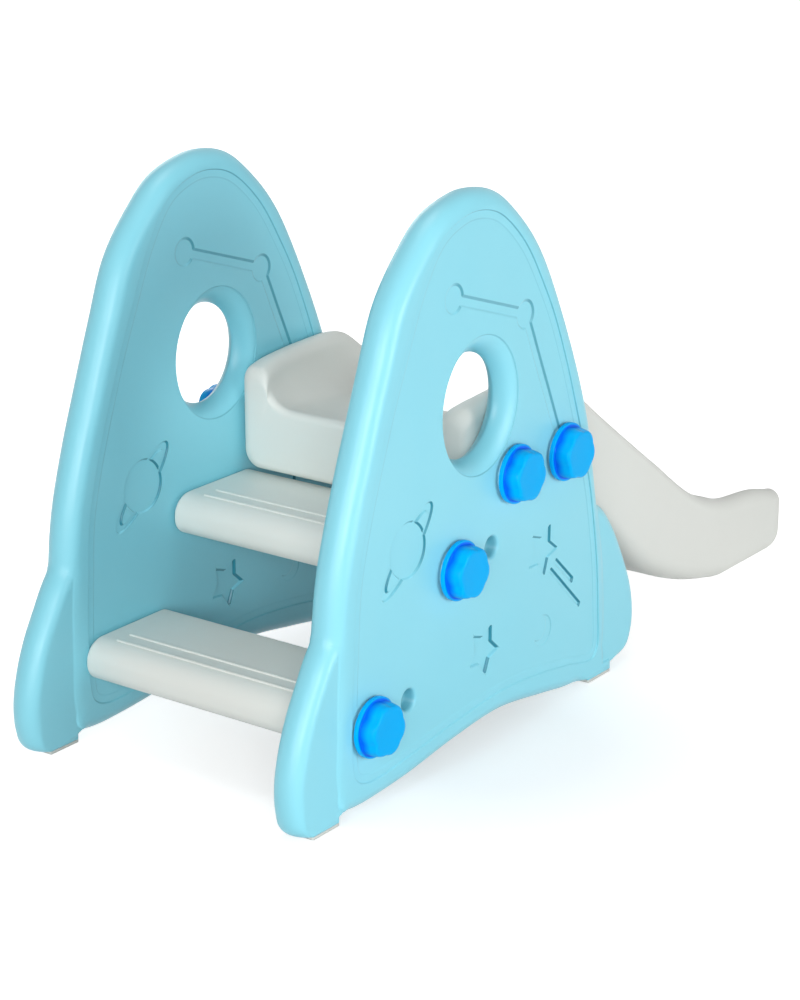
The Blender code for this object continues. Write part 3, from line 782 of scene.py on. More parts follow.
@dataclass
class PanelForm:
    """The shape that both side panels share: outline, rounded edges, fins, recesses and holes."""

    body: tuple[Point2, ...] = (
        (0.0380, 0.060), (0.0390, 0.100), (0.0430, 0.200), (0.0540, 0.289), (0.0780, 0.371),
        (0.0940, 0.415), (0.1310, 0.512), (0.1640, 0.5905), (0.2110, 0.646), (0.2495, 0.677),
        (0.3010, 0.693), (0.3300, 0.695), (0.3735, 0.6865), (0.4130, 0.660), (0.4630, 0.609),
        (0.5190, 0.512), (0.5770, 0.3755), (0.6050, 0.254), (0.6250, 0.160), (0.6300, 0.100),
        (0.6300, 0.050), (0.6220, 0.020), (0.5980, 0.0060), (0.5480, 0.0050), (0.4910, 0.0135),
        (0.3860, 0.0275), (0.2870, 0.0215), (0.1920, 0.0095), (0.1260, 0.0050), (0.0980, 0.0045),
        (0.0740, 0.0070), (0.0545, 0.0165), (0.0425, 0.0360),
    )
    rear_fin: tuple[Point2, ...] = (
        (-0.0260, 0.068), (-0.0180, 0.107), (-0.0030, 0.146), (0.0165, 0.181), (0.0340, 0.210),
        (0.0560, 0.236), (0.0780, 0.251), (0.1010, 0.251), (0.1210, 0.237), (0.1310, 0.213),
        (0.1320, 0.180), (0.1300, 0.110), (0.1180, 0.060), (0.0900, 0.027), (0.0560, 0.0085),
        (0.0250, 0.0020), (0.0010, 0.0025), (-0.0160, 0.0120), (-0.0245, 0.034),
    )
    front_fin: tuple[Point2, ...] = (
        (0.5450, 0.120), (0.5480, 0.195), (0.5650, 0.229), (0.5930, 0.245), (0.6200, 0.2345),
        (0.6500, 0.200), (0.6770, 0.1535), (0.6970, 0.110), (0.7050, 0.076), (0.7040, 0.045),
        (0.6905, 0.017), (0.6640, 0.007), (0.6330, 0.011), (0.5930, 0.029), (0.5600, 0.062),
    )
    field_outline: tuple[Point2, ...] = (
        (0.0780, 0.074), (0.0810, 0.199), (0.0900, 0.289), (0.1240, 0.4005), (0.1710, 0.516),
        (0.2130, 0.603), (0.2490, 0.6495), (0.2890, 0.668), (0.3230, 0.6715), (0.3650, 0.661),
        (0.4150, 0.622), (0.4590, 0.562), (0.5025, 0.481), (0.5740, 0.2825), (0.5975, 0.162),
        (0.6025, 0.100), (0.6030, 0.045), (0.5930, 0.034), (0.5330, 0.044), (0.4670, 0.054),
        (0.3860, 0.0595), (0.2870, 0.053), (0.1920, 0.042), (0.1050, 0.037), (0.0840, 0.048),
    )
    half: float = PANEL_THICKNESS / 2
    edge_round: float = 0.020
    fin_edge_round: float = 0.016
    foot_edge: float = 5 * MM
    foot_blend: float = 26 * MM
    crease_round: float = 1.5 * MM
    notch_round: float = 6 * MM
    field_depth: float = 1.8 * MM
    field_slope: float = 1.8 * MM
    # Painted shade on the walls of the field's step and of its second line.
    field_step_shade: float = 0.85
    second_depth: float = 0.5 * MM
    second_inset: float = 9 * MM
    second_slope: float = 3 * MM
    second_step_shade: float = 0.28
    lines_reach: float = 12 * MM
    field_shade_from: Point2 = (0.3, 0.954)
    motif_shade_from: Point2 = (0.95, 0.31)
    porthole: Point2 = (0.3330, 0.4365)
    dish_half: Point2 = (0.079, 0.086)
    hole_centre: Point2 = (0.3235, 0.4355)
    hole_half: Point2 = (0.0630, 0.0645)
    ring_step: float = 1.2 * MM
    ring_line: float = 0.9 * MM
    # Painted dark line along the porthole's ring step.
    ring_line_shade: float = 0.45
    hole_reach: float = 18.5 * MM
    bowl_power: float = 1.45
    # Painted shade deepening down the bowl towards the hole.
    bowl_shade: float = 0.3
    swell_height: float = 0.12 * MM
    bore_radius: float = 0.012
    bore_edge: float = 1.2 * MM
    bore_edge_depth: float = 0.8 * MM
    boss_radius: float = 0.0315
    boss_height: float = 0.5 * MM
    boss_slope: float = 0.6 * MM
    dimple_depth: float = 14 * MM
    dimple_floor: float = 8 * MM
    dimple_cone: float = 13.5 * MM
    dimple_mouth: float = 16.5 * MM
    dimple_steepness: float = 2.0
    # Painted shade deepening into each dimple.
    dimple_shade: float = 0.55
    socket_radius: float = 12.3 * MM
    socket_wall: float = 0.15 * MM
    socket_floor: float = 6.7 * MM

    def __post_init__(self) -> None:
        """Prepares the distances, the motifs and the shared sheet."""
        self.landings = [landing_reach(pad) for pad in FOOT_PADS]
        self.body_reach = blended(outline_reach(smooth_outline(self.body)), self.landings[1])
        self.rear_reach = blended(outline_reach(smooth_outline(self.rear_fin)), self.landings[0])
        self.front_reach = outline_reach(smooth_outline(self.front_fin))
        self.field_reach = outline_reach(smooth_outline(self.field_outline))
        self.bores = [place.axis for place in ScrewPlace]
        self.dimples = [place.peg for place in STEP_PLACES]
        self.motifs = self.sky_motifs()
        self.points, self.faces, self.edge = self.sheet()
        self.outer, self.inner, self.crease = self.heights(self.points)

    def sky_motifs(self) -> list[Recess]:
        """Draws the stars, moon, planet and linked bulbs sunk into both faces.

        Returns:
            The motifs.
        """
        low_star, comet_star, moon_middle = (0.3432, 0.1242), (0.4719, 0.2163), (0.474, 0.109)
        tails = (
            ((0.5035, 0.1964), (0.5434, 0.1593), (0.5408, 0.1532)),
            ((0.4920, 0.1873), (0.5618, 0.1200), (0.5589, 0.1155)),
        )
        slots = []
        for start, end, heel in tails:
            back = (start[0] + heel[0] - end[0], start[1] + heel[1] - end[1])
            slots.append(outline_reach(np.array([start, end, heel, back])))
        star = outline_reach(star_points(low_star, 0.0323, 0.0175, 60))
        comet = outline_reach(star_points(comet_star, 0.0342, 0.0175, 62))
        planet, ring = (0.186, 0.298), (0.185, 0.297)
        ring_shape = without(
            outline_reach(ellipse_points(ring, 0.0667, 0.018, 96, 44)),
            outline_reach(ellipse_points(ring, 0.0550, 0.013, 96, 44)),
        )
        bulbs, lane_end, lane_half = ((0.276, 0.577), (0.4245, 0.5285)), (0.5005, 0.364), 0.006
        lanes = any_of(
            *(disc_reach(bulb, 0.0172) for bulb in bulbs),
            bar_reach(*bulbs, lane_half), bar_reach(bulbs[1], lane_end, lane_half),
        )
        moon = without(disc_reach(moon_middle, 0.020), disc_reach((0.4655, 0.115), 0.017))
        shooting_star = any_of(comet, *slots)
        ringed_planet = any_of(disc_reach(planet, 0.034), ring_shape)
        return [
            Recess("star", star, *around(low_star, 0.04), 3.0 * MM, 2.6 * MM),
            Recess("shooting star", shooting_star, (0.43, 0.10), (0.58, 0.26), 2.4 * MM, 2.0 * MM),
            Recess("planet", ringed_planet, *around(planet, 0.08), 2.0 * MM, 2.0 * MM),
            Recess("bulbs", lanes, (0.25, 0.34), (0.53, 0.61), 1.3 * MM, 2.6 * MM, 0.75),
            Recess("moon", moon, *around(moon_middle, 0.03), 0.5 * MM, 1.6 * MM, 0.3),
        ]

    def union_reach(self, points: Array) -> Array:
        """Signed distance to the outline of body and fins, with rounded notches between them."""
        fins = smooth_max(self.rear_reach(points), self.front_reach(points), self.notch_round)
        return smooth_max(self.body_reach(points), fins, self.notch_round)

    def rounded(self, reach: Array, edge: Array, half: float) -> Array:
        """Half thickness at a distance inside an outline whose edge is rounded."""
        share = np.clip(reach / edge, 0, 1)
        return np.where(reach > 0, half * np.sqrt(np.maximum(1 - (1 - share) ** 2, 0)), 5 * reach)

    def plain_heights(self, points: Array) -> tuple[Array, Array, Array]:
        """Finds the half thickness of the body and of both fins, before any recess.

        Args:
            points: Drawn X and Z of the points.

        Returns:
            The body's and the fins' half thickness, and the three joined.
        """
        reaches = [shape(points) for shape in (self.body_reach, self.rear_reach, self.front_reach)]
        fins = smooth_max(reaches[1], reaches[2], self.notch_round)
        grown = smooth_max(reaches[0], fins, self.notch_round) - np.max(reaches, axis=0)
        from_foot = np.max([shape(points) for shape in self.landings], axis=0)
        near_foot = ramp(from_foot, -self.foot_blend, -1 * MM)
        edge = self.edge_round + (self.foot_edge - self.edge_round) * near_foot
        fin_edge = self.fin_edge_round + (self.foot_edge - self.fin_edge_round) * near_foot
        body = self.rounded(reaches[0] + grown, edge, self.half)
        fin_reach = np.maximum(reaches[1], reaches[2]) + grown
        fin = self.rounded(fin_reach, fin_edge, self.half - FIN_SET_BACK)
        return body, fin, smooth_max(body, fin, self.crease_round)

    def dish_oval(self, inset: Array) -> tuple[Array, Array]:
        """Finds the oval at an inset between the dish's rim and its hole.

        Args:
            inset: How far inside the rim, one value or many.

        Returns:
            The oval's centre and its half sizes.
        """
        share = (np.asarray(inset) / self.hole_reach)[..., None]
        rim, hole = np.array(self.porthole), np.array(self.hole_centre)
        rim_half, hole_half = np.array(self.dish_half), np.array(self.hole_half)
        return rim + (hole - rim) * share, rim_half + (hole_half - rim_half) * share

    def dish_inset(self, points: Array) -> Array:
        """Finds how far inside the porthole's rim points are, up to just past its hole.

        Args:
            points: Drawn X and Z of the points.

        Returns:
            The inset of each, below zero outside the rim.
        """
        low = np.full(len(points), -0.03)
        high = np.full(len(points), self.hole_reach + MM)
        for _ in range(26):
            middle = (low + high) / 2
            centre, half = self.dish_oval(middle)
            outside = (((points - centre) / half) ** 2).sum(1) > 1
            high = np.where(outside, middle, high)
            low = np.where(outside, low, middle)
        return low

    def dish_height(self, inset: Array, level: float) -> Array:
        """Finds the half thickness down the dish: a ring step, then a funnel into its hole.

        Args:
            inset: How far inside the rim.
            level: Half thickness at the rim.

        Returns:
            The half thickness, 0 at the hole's narrowest place.
        """
        step_floor = level - self.ring_step
        share = np.clip((inset - self.ring_step) / (self.hole_reach - self.ring_step), 0, 1)
        funnel = step_floor * (1 - share**self.bowl_power) ** (1 / self.bowl_power)
        on_step = level - self.ring_step * ramp(inset, 0, self.ring_step)
        return np.where(inset < self.ring_step, on_step, funnel)

    def field_levels(self, points: Array) -> tuple[Array, Array]:
        """Sinks the field and its second line into the plain thickness, and paints shade on their walls.

        Args:
            points: Drawn X and Z of the points.

        Returns:
            The half thickness, and how much painted shade each point gets.
        """
        from_field = self.field_reach(points)
        step = ramp(from_field, -self.field_slope, 0)
        half_slope = self.second_slope / 2
        second = ramp(from_field, self.second_inset - half_slope, self.second_inset + half_slope)
        level = self.plain_heights(points)[2] - self.field_depth * step - self.second_depth * second
        # Painted shade on the step walls, strongest along the field's upper edge, where the walls face
        # down.
        near = np.abs(from_field - self.second_inset / 2) < self.lines_reach
        outward = -slope_of(self.field_reach, points[near]) @ np.array(self.field_shade_from)
        steps = self.field_step_shade * 4 * step * (1 - step) + self.second_step_shade * 4 * second * (1 - second)
        crease = np.zeros(len(points))
        crease[near] = steps[near] * np.clip(0.45 + 0.6 * outward, 0, 1)
        return level, crease

    def sink(self, motif: Recess, points: Array, level: Array, crease: Array) -> None:
        """Sinks a motif, and paints shade on the shaded side of its wall.

        Args:
            motif: The motif.
            points: Drawn X and Z of the points.
            level: Half thickness at the points, changed here.
            crease: Painted shade at the points, changed here.
        """
        box = np.logical_and(points >= np.array(motif.low), points <= np.array(motif.high)).all(1)
        reach = motif.shape(points[box])
        level[box] -= motif.depth * ramp(reach, -motif.wall / 2, motif.wall / 2)
        # Painted shade on the wall, strongest on the recess's right-hand side and weaker on its upper
        # side.
        on_wall = np.clip(2.2 - 2.6 * np.abs(reach) / motif.wall, 0, 1)
        outward = -slope_of(motif.shape, points[box]) @ np.array(self.motif_shade_from)
        wall_shade = motif.wall_shade * on_wall * np.clip(0.1 + 1.2 * outward, 0, 1)
        crease[box] = np.maximum(crease[box], wall_shade)

    def swell(self, points: Array) -> Array:
        """The slight unevenness of a moulded face."""
        x, z = points.T
        return self.swell_height * (np.sin(41 * x + 23 * z) + np.sin(67 * z - 19 * x + 1))

    def heights(self, points: Array) -> tuple[Array, Array, Array]:
        """Finds the half thickness towards the outer and the inner side.

        Args:
            points: Drawn X and Z of the points.

        Returns:
            Outer half thickness, inner half thickness, and how much painted shade each point gets.
        """
        level, crease = self.field_levels(points)
        for motif in self.motifs:
            self.sink(motif, points, level, crease)
        inset = self.dish_inset(points)
        dish = self.dish_height(inset, self.half - self.field_depth - self.second_depth)
        level = np.where(inset > 0, dish, level)
        # Painted dark line along the ring step, and painted shade deepening down the bowl towards the
        # hole.
        ring = np.clip(1 - np.abs(inset - self.ring_step / 2) / self.ring_line, 0, 1)
        bowl = ramp(inset, 5 * MM, self.hole_reach)
        crease = np.maximum(crease, self.ring_line_shade * ring + self.bowl_shade * bowl)
        on_face = ramp(level, 0.018, 0.0205) * (inset < -2 * MM)
        level = level + self.swell(points) * on_face
        outer, inner = level.copy(), level.copy()
        for bore in self.bores:
            away = np.hypot(*(points - np.array(bore)).T)
            on_boss = ramp(self.boss_radius - away, -self.boss_slope / 2, self.boss_slope / 2)
            outer = outer * (1 - on_boss) + (self.half + self.boss_height) * on_boss
            past_edge = ramp(away, self.bore_radius, self.bore_radius + self.bore_edge)
            mouth = self.bore_edge_depth * (1 - past_edge)
            outer, inner = outer - mouth, inner - mouth
        for dimple in self.dimples:
            away = np.hypot(*(points - np.array(dimple)).T)
            depth = self.dimple_sink(away)
            outer = outer - depth
            # Painted shade, darker the deeper the dimple.
            crease = np.maximum(crease, self.dimple_shade * ramp(depth, 0.8 * MM, 5 * MM))
            wall = ramp(away, self.socket_radius, self.socket_radius + self.socket_wall)
            socket = self.socket_floor * (1 - wall) + inner * wall
            inner = np.where(away < self.socket_radius + MM, socket, inner)
        return outer, inner, crease

    def dimple_sink(self, away: Array) -> Array:
        """Finds how deep a dimple is: a flat floor, a cone, and a soft mouth.

        Args:
            away: Distances from its middle.

        Returns:
            The depth at each.
        """
        cone = self.dimple_depth - (away - self.dimple_floor) * self.dimple_steepness
        mouth = self.dimple_mouth - self.dimple_cone
        soft = np.maximum(self.dimple_mouth - away, 0) ** 2 / mouth
        slanted = np.where(away < self.dimple_cone, cone, soft)
        return np.where(away < self.dimple_floor, self.dimple_depth, slanted)

    def outline_strip(self) -> Array:
        """Follows the panel's outline.

        Returns:
            Rows of points from the free edge of the panel inwards.
        """
        loops = level_loops(self.union_reach, (-0.04, -0.01), (0.72, 0.71), 4 * MM)
        loop = max(loops, key=len)
        edge = settle(self.union_reach, resampled(settle(self.union_reach, loop), 4 * MM))
        inward = slope_of(self.union_reach, edge)
        offsets = np.array([0, 0.05, 0.2, 0.45, 0.8, 1.3, 2.0, 3.0]) * MM
        return edge + inward * offsets[:, None, None]

    def sheet(self) -> tuple[Array, list[list[int]], Array]:
        """Lays the flat sheet of points under both faces, closer where the surface bends.

        Returns:
            Its points, its faces, and the numbers of the points on free edges.
        """
        sheet = FlatSheet()
        outline = self.outline_strip()
        sheet.add_strip(outline)
        insets = np.array([
            18.5, 18.495, 18.48, 18.43, 18.35, 18.2, 17.95, 17.6, 17.1, 16.4, 15.5, 14.3, 12.8, 11, 9, 7,
            5.2, 3.8, 2.6, 1.8, 1.3, 1.05, 0.8, 0.6, 0.4, 0.15, -0.2, -0.7, -1.6,
        ]) * MM
        ovals = [self.dish_oval(inset) for inset in insets]
        sheet.add_strip(np.stack([ellipse_points(c, *half, 128) for c, half in ovals]))
        for bore in self.bores:
            radii = np.array([12, 12.05, 12.3, 12.6, 13.0, 13.4]) * MM
            sheet.add_strip(np.stack([ellipse_points(bore, r, r, 40) for r in radii]))
            for r in self.boss_radius + np.array([-0.8, -0.45, -0.2, 0, 0.2, 0.45, 0.8]) * MM:
                sheet.add_points(ellipse_points(bore, r, r, 110))
        radii = np.array([1.5, 4, 6.5, 8, 9.5, 11, 12.25, 12.45, 13.5, 14.25, 15, 15.75, 16.5]) * MM
        for dimple in self.dimples:
            for r in radii:
                sheet.add_points(ellipse_points(dimple, r, r, max(8, int(72 * r / (12 * MM)))))
        inward = slope_of(self.union_reach, outline[0])
        for offset, stride in ((4.2, 1), (5.8, 1), (8, 1), (11, 1), (14, 2), (17, 2), (20, 2)):
            sheet.add_points((outline[0] + inward * offset * MM)[::stride])
        line = resampled(smooth_outline(self.field_outline), 2.5 * MM)
        rows = np.array([-2.2, -1.7, -1.3, -0.8, -0.3, 0.1, 0.6, 7, 7.6, 8.3, 9, 9.7, 10.4, 11])
        self.add_rows(sheet, line, self.field_reach, rows * MM)
        for motif in self.motifs:
            for loop in level_loops(motif.shape, motif.low, motif.high, 0.8 * MM):
                line = settle(motif.shape, resampled(loop, 1.1 * MM), 2)
                rows = np.array([-0.85, -0.6, -0.4, -0.2, 0, 0.2, 0.4, 0.6, 0.85]) * motif.wall
                self.add_rows(sheet, line, motif.shape, rows)
        self.add_crease_rows(sheet)
        self.add_background(sheet)
        return sheet.triangulated()

    def add_rows(self, sheet: FlatSheet, line: Array, reach: Reach, offsets: Array) -> None:
        """Adds rows of points beside a line, at offsets along the slope of a value."""
        sheet.add_points(line + slope_of(reach, line) * offsets[:, None, None])

    def add_crease_rows(self, sheet: FlatSheet) -> None:
        """Adds rows along the creases where the fins run into the body's rounded edge.

        Args:
            sheet: The sheet that they are added to.
        """

        def difference(points: Array) -> Array:
            """How much thicker the body is than the fin."""
            body, fin, _ = self.plain_heights(points)
            return body - fin

        rows = np.array([-2.2, -1.2, -0.5, 0, 0.5, 1.2, 2.2]) * MM
        for low, high in (((-0.04, -0.01), (0.15, 0.28)), ((0.53, -0.01), (0.72, 0.27))):
            for loop in level_loops(difference, low, high, 2 * MM):
                line = settle_gently(difference, resampled(loop, 2.5 * MM))
                line = line[self.union_reach(line) > 3 * MM]
                if len(line):
                    self.add_rows(sheet, line, difference, rows)

    def add_background(self, sheet: FlatSheet) -> None:
        """Fills the flat areas with a coarse grid, clear of the closer rows.

        Args:
            sheet: The sheet that it is added to.
        """
        cell = 7.5 * MM
        xs, zs = np.arange(-0.04, 0.72, cell), np.arange(0, 0.71, cell)
        grid = np.stack(np.meshgrid(xs, zs, indexing="ij"), axis=-1)
        grid[::2, :, 1] += cell / 2
        grid = grid.reshape(-1, 2)
        grid = grid[self.union_reach(grid) > 6 * MM]
        grid = grid[self.dish_inset(grid) < -4 * MM]
        close = np.vstack(sheet.loose + [rows[-1] for rows in sheet.strips])
        tree = KDTree(len(close))
        for i, (x, z) in enumerate(close.tolist()):
            tree.insert((x, z, 0), i)
        tree.balance()
        sheet.add_points([p for p in grid.tolist() if tree.find((p[0], p[1], 0))[2] > 0.6 * cell])


def settle_gently(value: Reach, points: Array) -> Array:
    """Moves points onto the line where a value is zero, when its slope isn't one.

    Args:
        value: The value.
        points: The points.

    Returns:
        The moved points.
    """
    for _ in range(4):
        slope = rise_of(value, points, GENTLE_STEP) / (2 * GENTLE_STEP)
        size = np.maximum((slope**2).sum(1), 0.01)
        move = slope * (value(points) / size)[:, None]
        points = points - np.clip(move, -MM, MM)
    return points


@dataclass
class SidePanel:
    """One hollow-moulded arch panel with its fins and the landings over its foot pads."""

    side: Side
    form: PanelForm
    landing_height: float = 0.018
    landing_round: float = 1.5 * MM
    landing_base_round: float = 0.4 * MM

    def skin(self) -> tuple[Array, list[list[int]], Array]:
        """Folds the sheet into the panel's closed skin.

        Returns:
            The skin's points, its faces, and how much painted shade each point gets.
        """
        form, sign = self.form, self.side.value
        x, z = form.points.T
        on_pad = np.zeros(len(x), bool)
        for pad in FOOT_PADS:
            on_pad |= (x > pad.start - CONTACT_GAP) & (x < pad.end + CONTACT_GAP)
        z = np.where(on_pad, np.maximum(z, PAD_TOP), z)
        shared = np.zeros(len(x), bool)
        shared[form.edge] = True
        outer, inner = np.where(shared, 0, form.outer), np.where(shared, 0, form.inner)
        x = x - DRAWN_CENTRE_X
        outer_points = np.column_stack((x, sign * (PANEL_MIDDLE + outer), z))
        inner_points = np.column_stack((x, sign * (PANEL_MIDDLE - inner), z))
        number = np.arange(len(x))
        number[~shared] = len(x) + np.arange((~shared).sum())
        points = np.clip(np.vstack((outer_points, inner_points[~shared])), *CAD_BOX)
        crease = np.concatenate((form.crease, form.crease[~shared]))
        faces = []
        for near in form.faces:
            far = [int(number[i]) for i in reversed(near)]
            faces += [near, far] if self.side is Side.RIGHT else [near[::-1], far[::-1]]
        return points, faces, crease

    def landing(self, pad: FootPad) -> tuple[Array, list[list[int]]]:
        """Draws the rounded block over a foot pad, where the moulding stands on it.

        Args:
            pad: The pad.

        Returns:
            The block's points and faces.
        """
        low, high, inset = PAD_TOP, self.landing_height, self.landing_round
        base = self.landing_base_round
        levels = ((low, base), (low + base, 0), (high - inset, 0), (high, inset))
        middle = np.array([0, self.side.value * PANEL_MIDDLE, 0])
        rows = [loop + middle for loop in rounded_rows((pad.start, pad.end), pad.half, inset, levels, 4)]
        return lofted(rows)

    def build(self, material: Material) -> None:
        """Builds the panel's one piece.

        Args:
            material: The panel's plastic.
        """
        points, faces, crease = self.skin()
        panel = mesh_object(f"{self.side.word}_arch_panel", points, faces, turn_out=False)
        # The painted shade goes on as a point attribute, which the material reads.
        marks = panel.data.attributes.new("crease", "FLOAT", "POINT")
        marks.data.foreach_set("value", crease.astype(np.float32))
        blocks = []
        for pad in FOOT_PADS:
            block = mesh_object("landing_block", *self.landing(pad))
            block.data.set_sharp_from_angle(angle=math.radians(35))
            blocks.append(block)
        join_into(panel, blocks)
        dress(panel, material, "frame", Slot.PANEL, f"{self.side.word}_side_panel")


def join_into(target: Piece, others: Sequence[Piece]) -> None:
    """Joins other mesh objects into a target, keeping its name and attributes.

    Args:
        target: The object that stays.
        others: The objects that go into it.
    """
    every = [target, *others]
    with bpy.context.temp_override(active_object=target, selected_editable_objects=every, object=target):
        bpy.ops.object.join()


def dress(piece: Piece, material: Material, body: str, slot: Slot, *nodes: str) -> None:
    """Gives a piece its material and its part in the CAD.

    Args:
        piece: The piece.
        material: Its material.
        body: The CAD body that it rides on.
        slot: Its material slot; not used.
        nodes: The CAD nodes that it stands for.
    """
    piece.data.materials.clear()
    piece.data.materials.append(material)
    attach(piece, body)
    if nodes:
        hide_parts(*nodes)
    LOG.info("built %s: %d faces, rides on %s", piece.name, len(piece.data.polygons), body)


# Geometry node trees.


class TreeMaker:
    """Short ways to add nodes, values and links to a node tree."""

    def __init__(self, tree: Tree) -> None:
        """Keeps the tree."""
        self.tree = tree

    def add(self, kind: str, inputs: dict[str | int, object] | None = None, **settings: object) -> Node:
        """Adds a node.

        Args:
            kind: Blender's name of the node's type.
            inputs: Values, or other nodes' outputs, for its inputs by name or number.
            settings: The node's own properties.

        Returns:
            The node.
        """
        node = self.tree.nodes.new(kind)
        for name, value in settings.items():
            setattr(node, name, value)
        return self.fill(node, inputs or {})

    def fill(self, node: Node, inputs: dict[str | int, object]) -> Node:
        """Sets or links a node's inputs.

        Args:
            node: The node.
            inputs: Values, or other nodes' outputs, by name or number.

        Returns:
            The same node.
        """
        for key, value in inputs.items():
            if isinstance(value, Socket):
                self.tree.links.new(value, node.inputs[key])
            else:
                node.inputs[key].default_value = value
        return node

    def math(self, operation: str, a: object, b: object = 0.0) -> Socket:
        """Adds a Math node and gives its output."""
        return self.add("ShaderNodeMath", {0: a, 1: b}, operation=operation).outputs[0]

    def plus(self, a: object, b: object) -> Socket:
        """The sum of two values."""
        return self.math("ADD", a, b)

    def minus(self, a: object, b: object) -> Socket:
        """The difference of two values."""
        return self.math("SUBTRACT", a, b)

    def times(self, a: object, b: object) -> Socket:
        """The product of two values."""
        return self.math("MULTIPLY", a, b)

    def over(self, a: object, b: object) -> Socket:
        """One value divided by another."""
        return self.math("DIVIDE", a, b)

    def vector(self, x: object = 0.0, y: object = 0.0, z: object = 0.0) -> Socket:
        """A vector of three values."""
        return self.add("ShaderNodeCombineXYZ", {0: x, 1: y, 2: z}).outputs[0]

    def parts(self, vector: Socket) -> Sequence[Socket]:
        """The three values of a vector."""
        return self.add("ShaderNodeSeparateXYZ", {0: vector}).outputs

    def mixed(self, factor: object, a: object, b: object) -> Socket:
        """A colour between two others."""
        inputs = {"Factor": factor, 6: a, 7: b}
        return self.add("ShaderNodeMix", inputs, data_type="RGBA").outputs[2]

    def interface(self, inputs: dict[str, object], **outputs: str) -> Sequence[Socket]:
        """Gives the tree its own inputs and outputs.

        Args:
            inputs: For each input, its kind, or its value if it is a number or a vector.
            outputs: Kind of each output.

        Returns:
            The inputs, as the nodes in the tree read them.
        """
        kinds = {float: "Float", int: "Int", tuple: "Vector"}
        for name, given in inputs.items():
            kind = given if isinstance(given, str) else kinds[type(given)]
            made = self.tree.interface.new_socket(
                name=name, in_out="INPUT", socket_type=f"NodeSocket{kind}"
            )
            if not isinstance(given, str):
                made.default_value = given
        for name, kind in outputs.items():
            self.tree.interface.new_socket(name=name, in_out="OUTPUT", socket_type=f"NodeSocket{kind}")
        return self.add("NodeGroupInput").outputs


def turned_tree() -> Tree:
    """Builds the tree that turns a profile line into a round, lobed, threaded or many-cornered part.

    The profile is a line of points in order, X its radius and Z its height, with the attributes
    lobe, thread, corner and crease that say how strongly each point takes them.

    Returns:
        The tree.
    """
    tree = bpy.data.node_groups.new("Turned Part", "GeometryNodeTree")
    make = TreeMaker(tree)
    given = make.interface({
        "Profile": "Geometry", "Sides": 96, "Lobes": 6, "Lobe Turn": 0.0, "Pitch": 0.008,
        "Corners": 6, "Corner Limit": 1.0, "Finish": "Material",
    }, Part="Geometry")
    turn = 2 * math.pi
    rows = make.add("GeometryNodeAttributeDomainSize", {0: given["Profile"]}).outputs["Point Count"]
    last_row = make.minus(rows, 1)
    grid = make.add("GeometryNodeMeshGrid", {
        "Size X": given["Sides"], "Size Y": last_row,
        "Vertices X": make.plus(given["Sides"], 1), "Vertices Y": rows,
    })
    place = make.parts(make.add("GeometryNodeInputPosition").outputs[0])
    column = make.math("ROUND", make.plus(place[0], make.times(given["Sides"], 0.5)))
    row = make.math("ROUND", make.plus(place[1], make.times(last_row, 0.5)))

    def sampled(kind: str, value: Socket) -> Socket:
        """Reads a value of the profile's point that belongs to this row."""
        inputs = {"Geometry": given["Profile"], "Value": value, "Index": row}
        return make.add("GeometryNodeSampleIndex", inputs, data_type=kind, clamp=True).outputs[0]

    def named(name: str) -> Socket:
        """A named value of the profile's point that belongs to this row."""
        node = make.add("GeometryNodeInputNamedAttribute", {"Name": name}, data_type="FLOAT")
        return sampled("FLOAT", node.outputs[0])

    drawn = make.parts(sampled("FLOAT_VECTOR", make.add("GeometryNodeInputPosition").outputs[0]))
    angle = make.times(make.over(column, given["Sides"]), turn)
    lobe_angle = make.plus(make.times(angle, make.times(given["Lobes"], 0.5)), given["Lobe Turn"])
    swing = make.math("POWER", make.math("COSINE", lobe_angle), 2)
    petal = make.math("SQRT", make.plus(make.times(swing, 1 - LOBE_SOFTNESS), LOBE_SOFTNESS))
    lobed = make.times(make.minus(make.times(petal, 2), 1), named("lobe"))
    turns = make.minus(make.over(drawn[2], given["Pitch"]), make.over(angle, turn))
    wave = make.math("COSINE", make.times(turns, turn))
    thread = make.times(make.minus(wave, 1), named("thread"))
    sector = make.over(turn, given["Corners"])
    half_sector = make.times(sector, 0.5)
    in_sector = make.minus(make.math("FLOORED_MODULO", angle, sector), half_sector)
    flat_side = make.over(make.math("COSINE", half_sector), make.math("COSINE", in_sector))
    cornered = make.math("MINIMUM", flat_side, given["Corner Limit"])
    corner_share = make.times(make.minus(cornered, 1), named("corner"))
    reach = make.plus(make.plus(make.times(drawn[0], make.plus(corner_share, 1)), lobed), thread)
    position = make.vector(
        make.times(reach, make.math("COSINE", angle)),
        make.times(reach, make.math("SINE", angle)),
        drawn[2],
    )
    # Painted shade, deeper in the valleys between the lobes.
    deep = make.times(named("crease"), make.minus(1.5, make.times(petal, 0.5)))
    tinted = make.add("GeometryNodeStoreNamedAttribute", {
        "Geometry": grid.outputs[0], "Name": "crease", "Value": deep,
    }, data_type="FLOAT", domain="POINT")
    shaped = make.add("GeometryNodeSetPosition", {0: tinted.outputs[0], "Position": position})
    merged = make.add("GeometryNodeMergeByDistance", {0: shaped.outputs[0], "Distance": 2e-6})
    real = make.add("GeometryNodeRealizeInstances", {0: merged.outputs[0]})
    coated = make.add("GeometryNodeSetMaterial", {0: real.outputs[0], "Material": given["Finish"]})
    make.add("NodeGroupOutput", {0: coated.outputs[0]})
    return tree


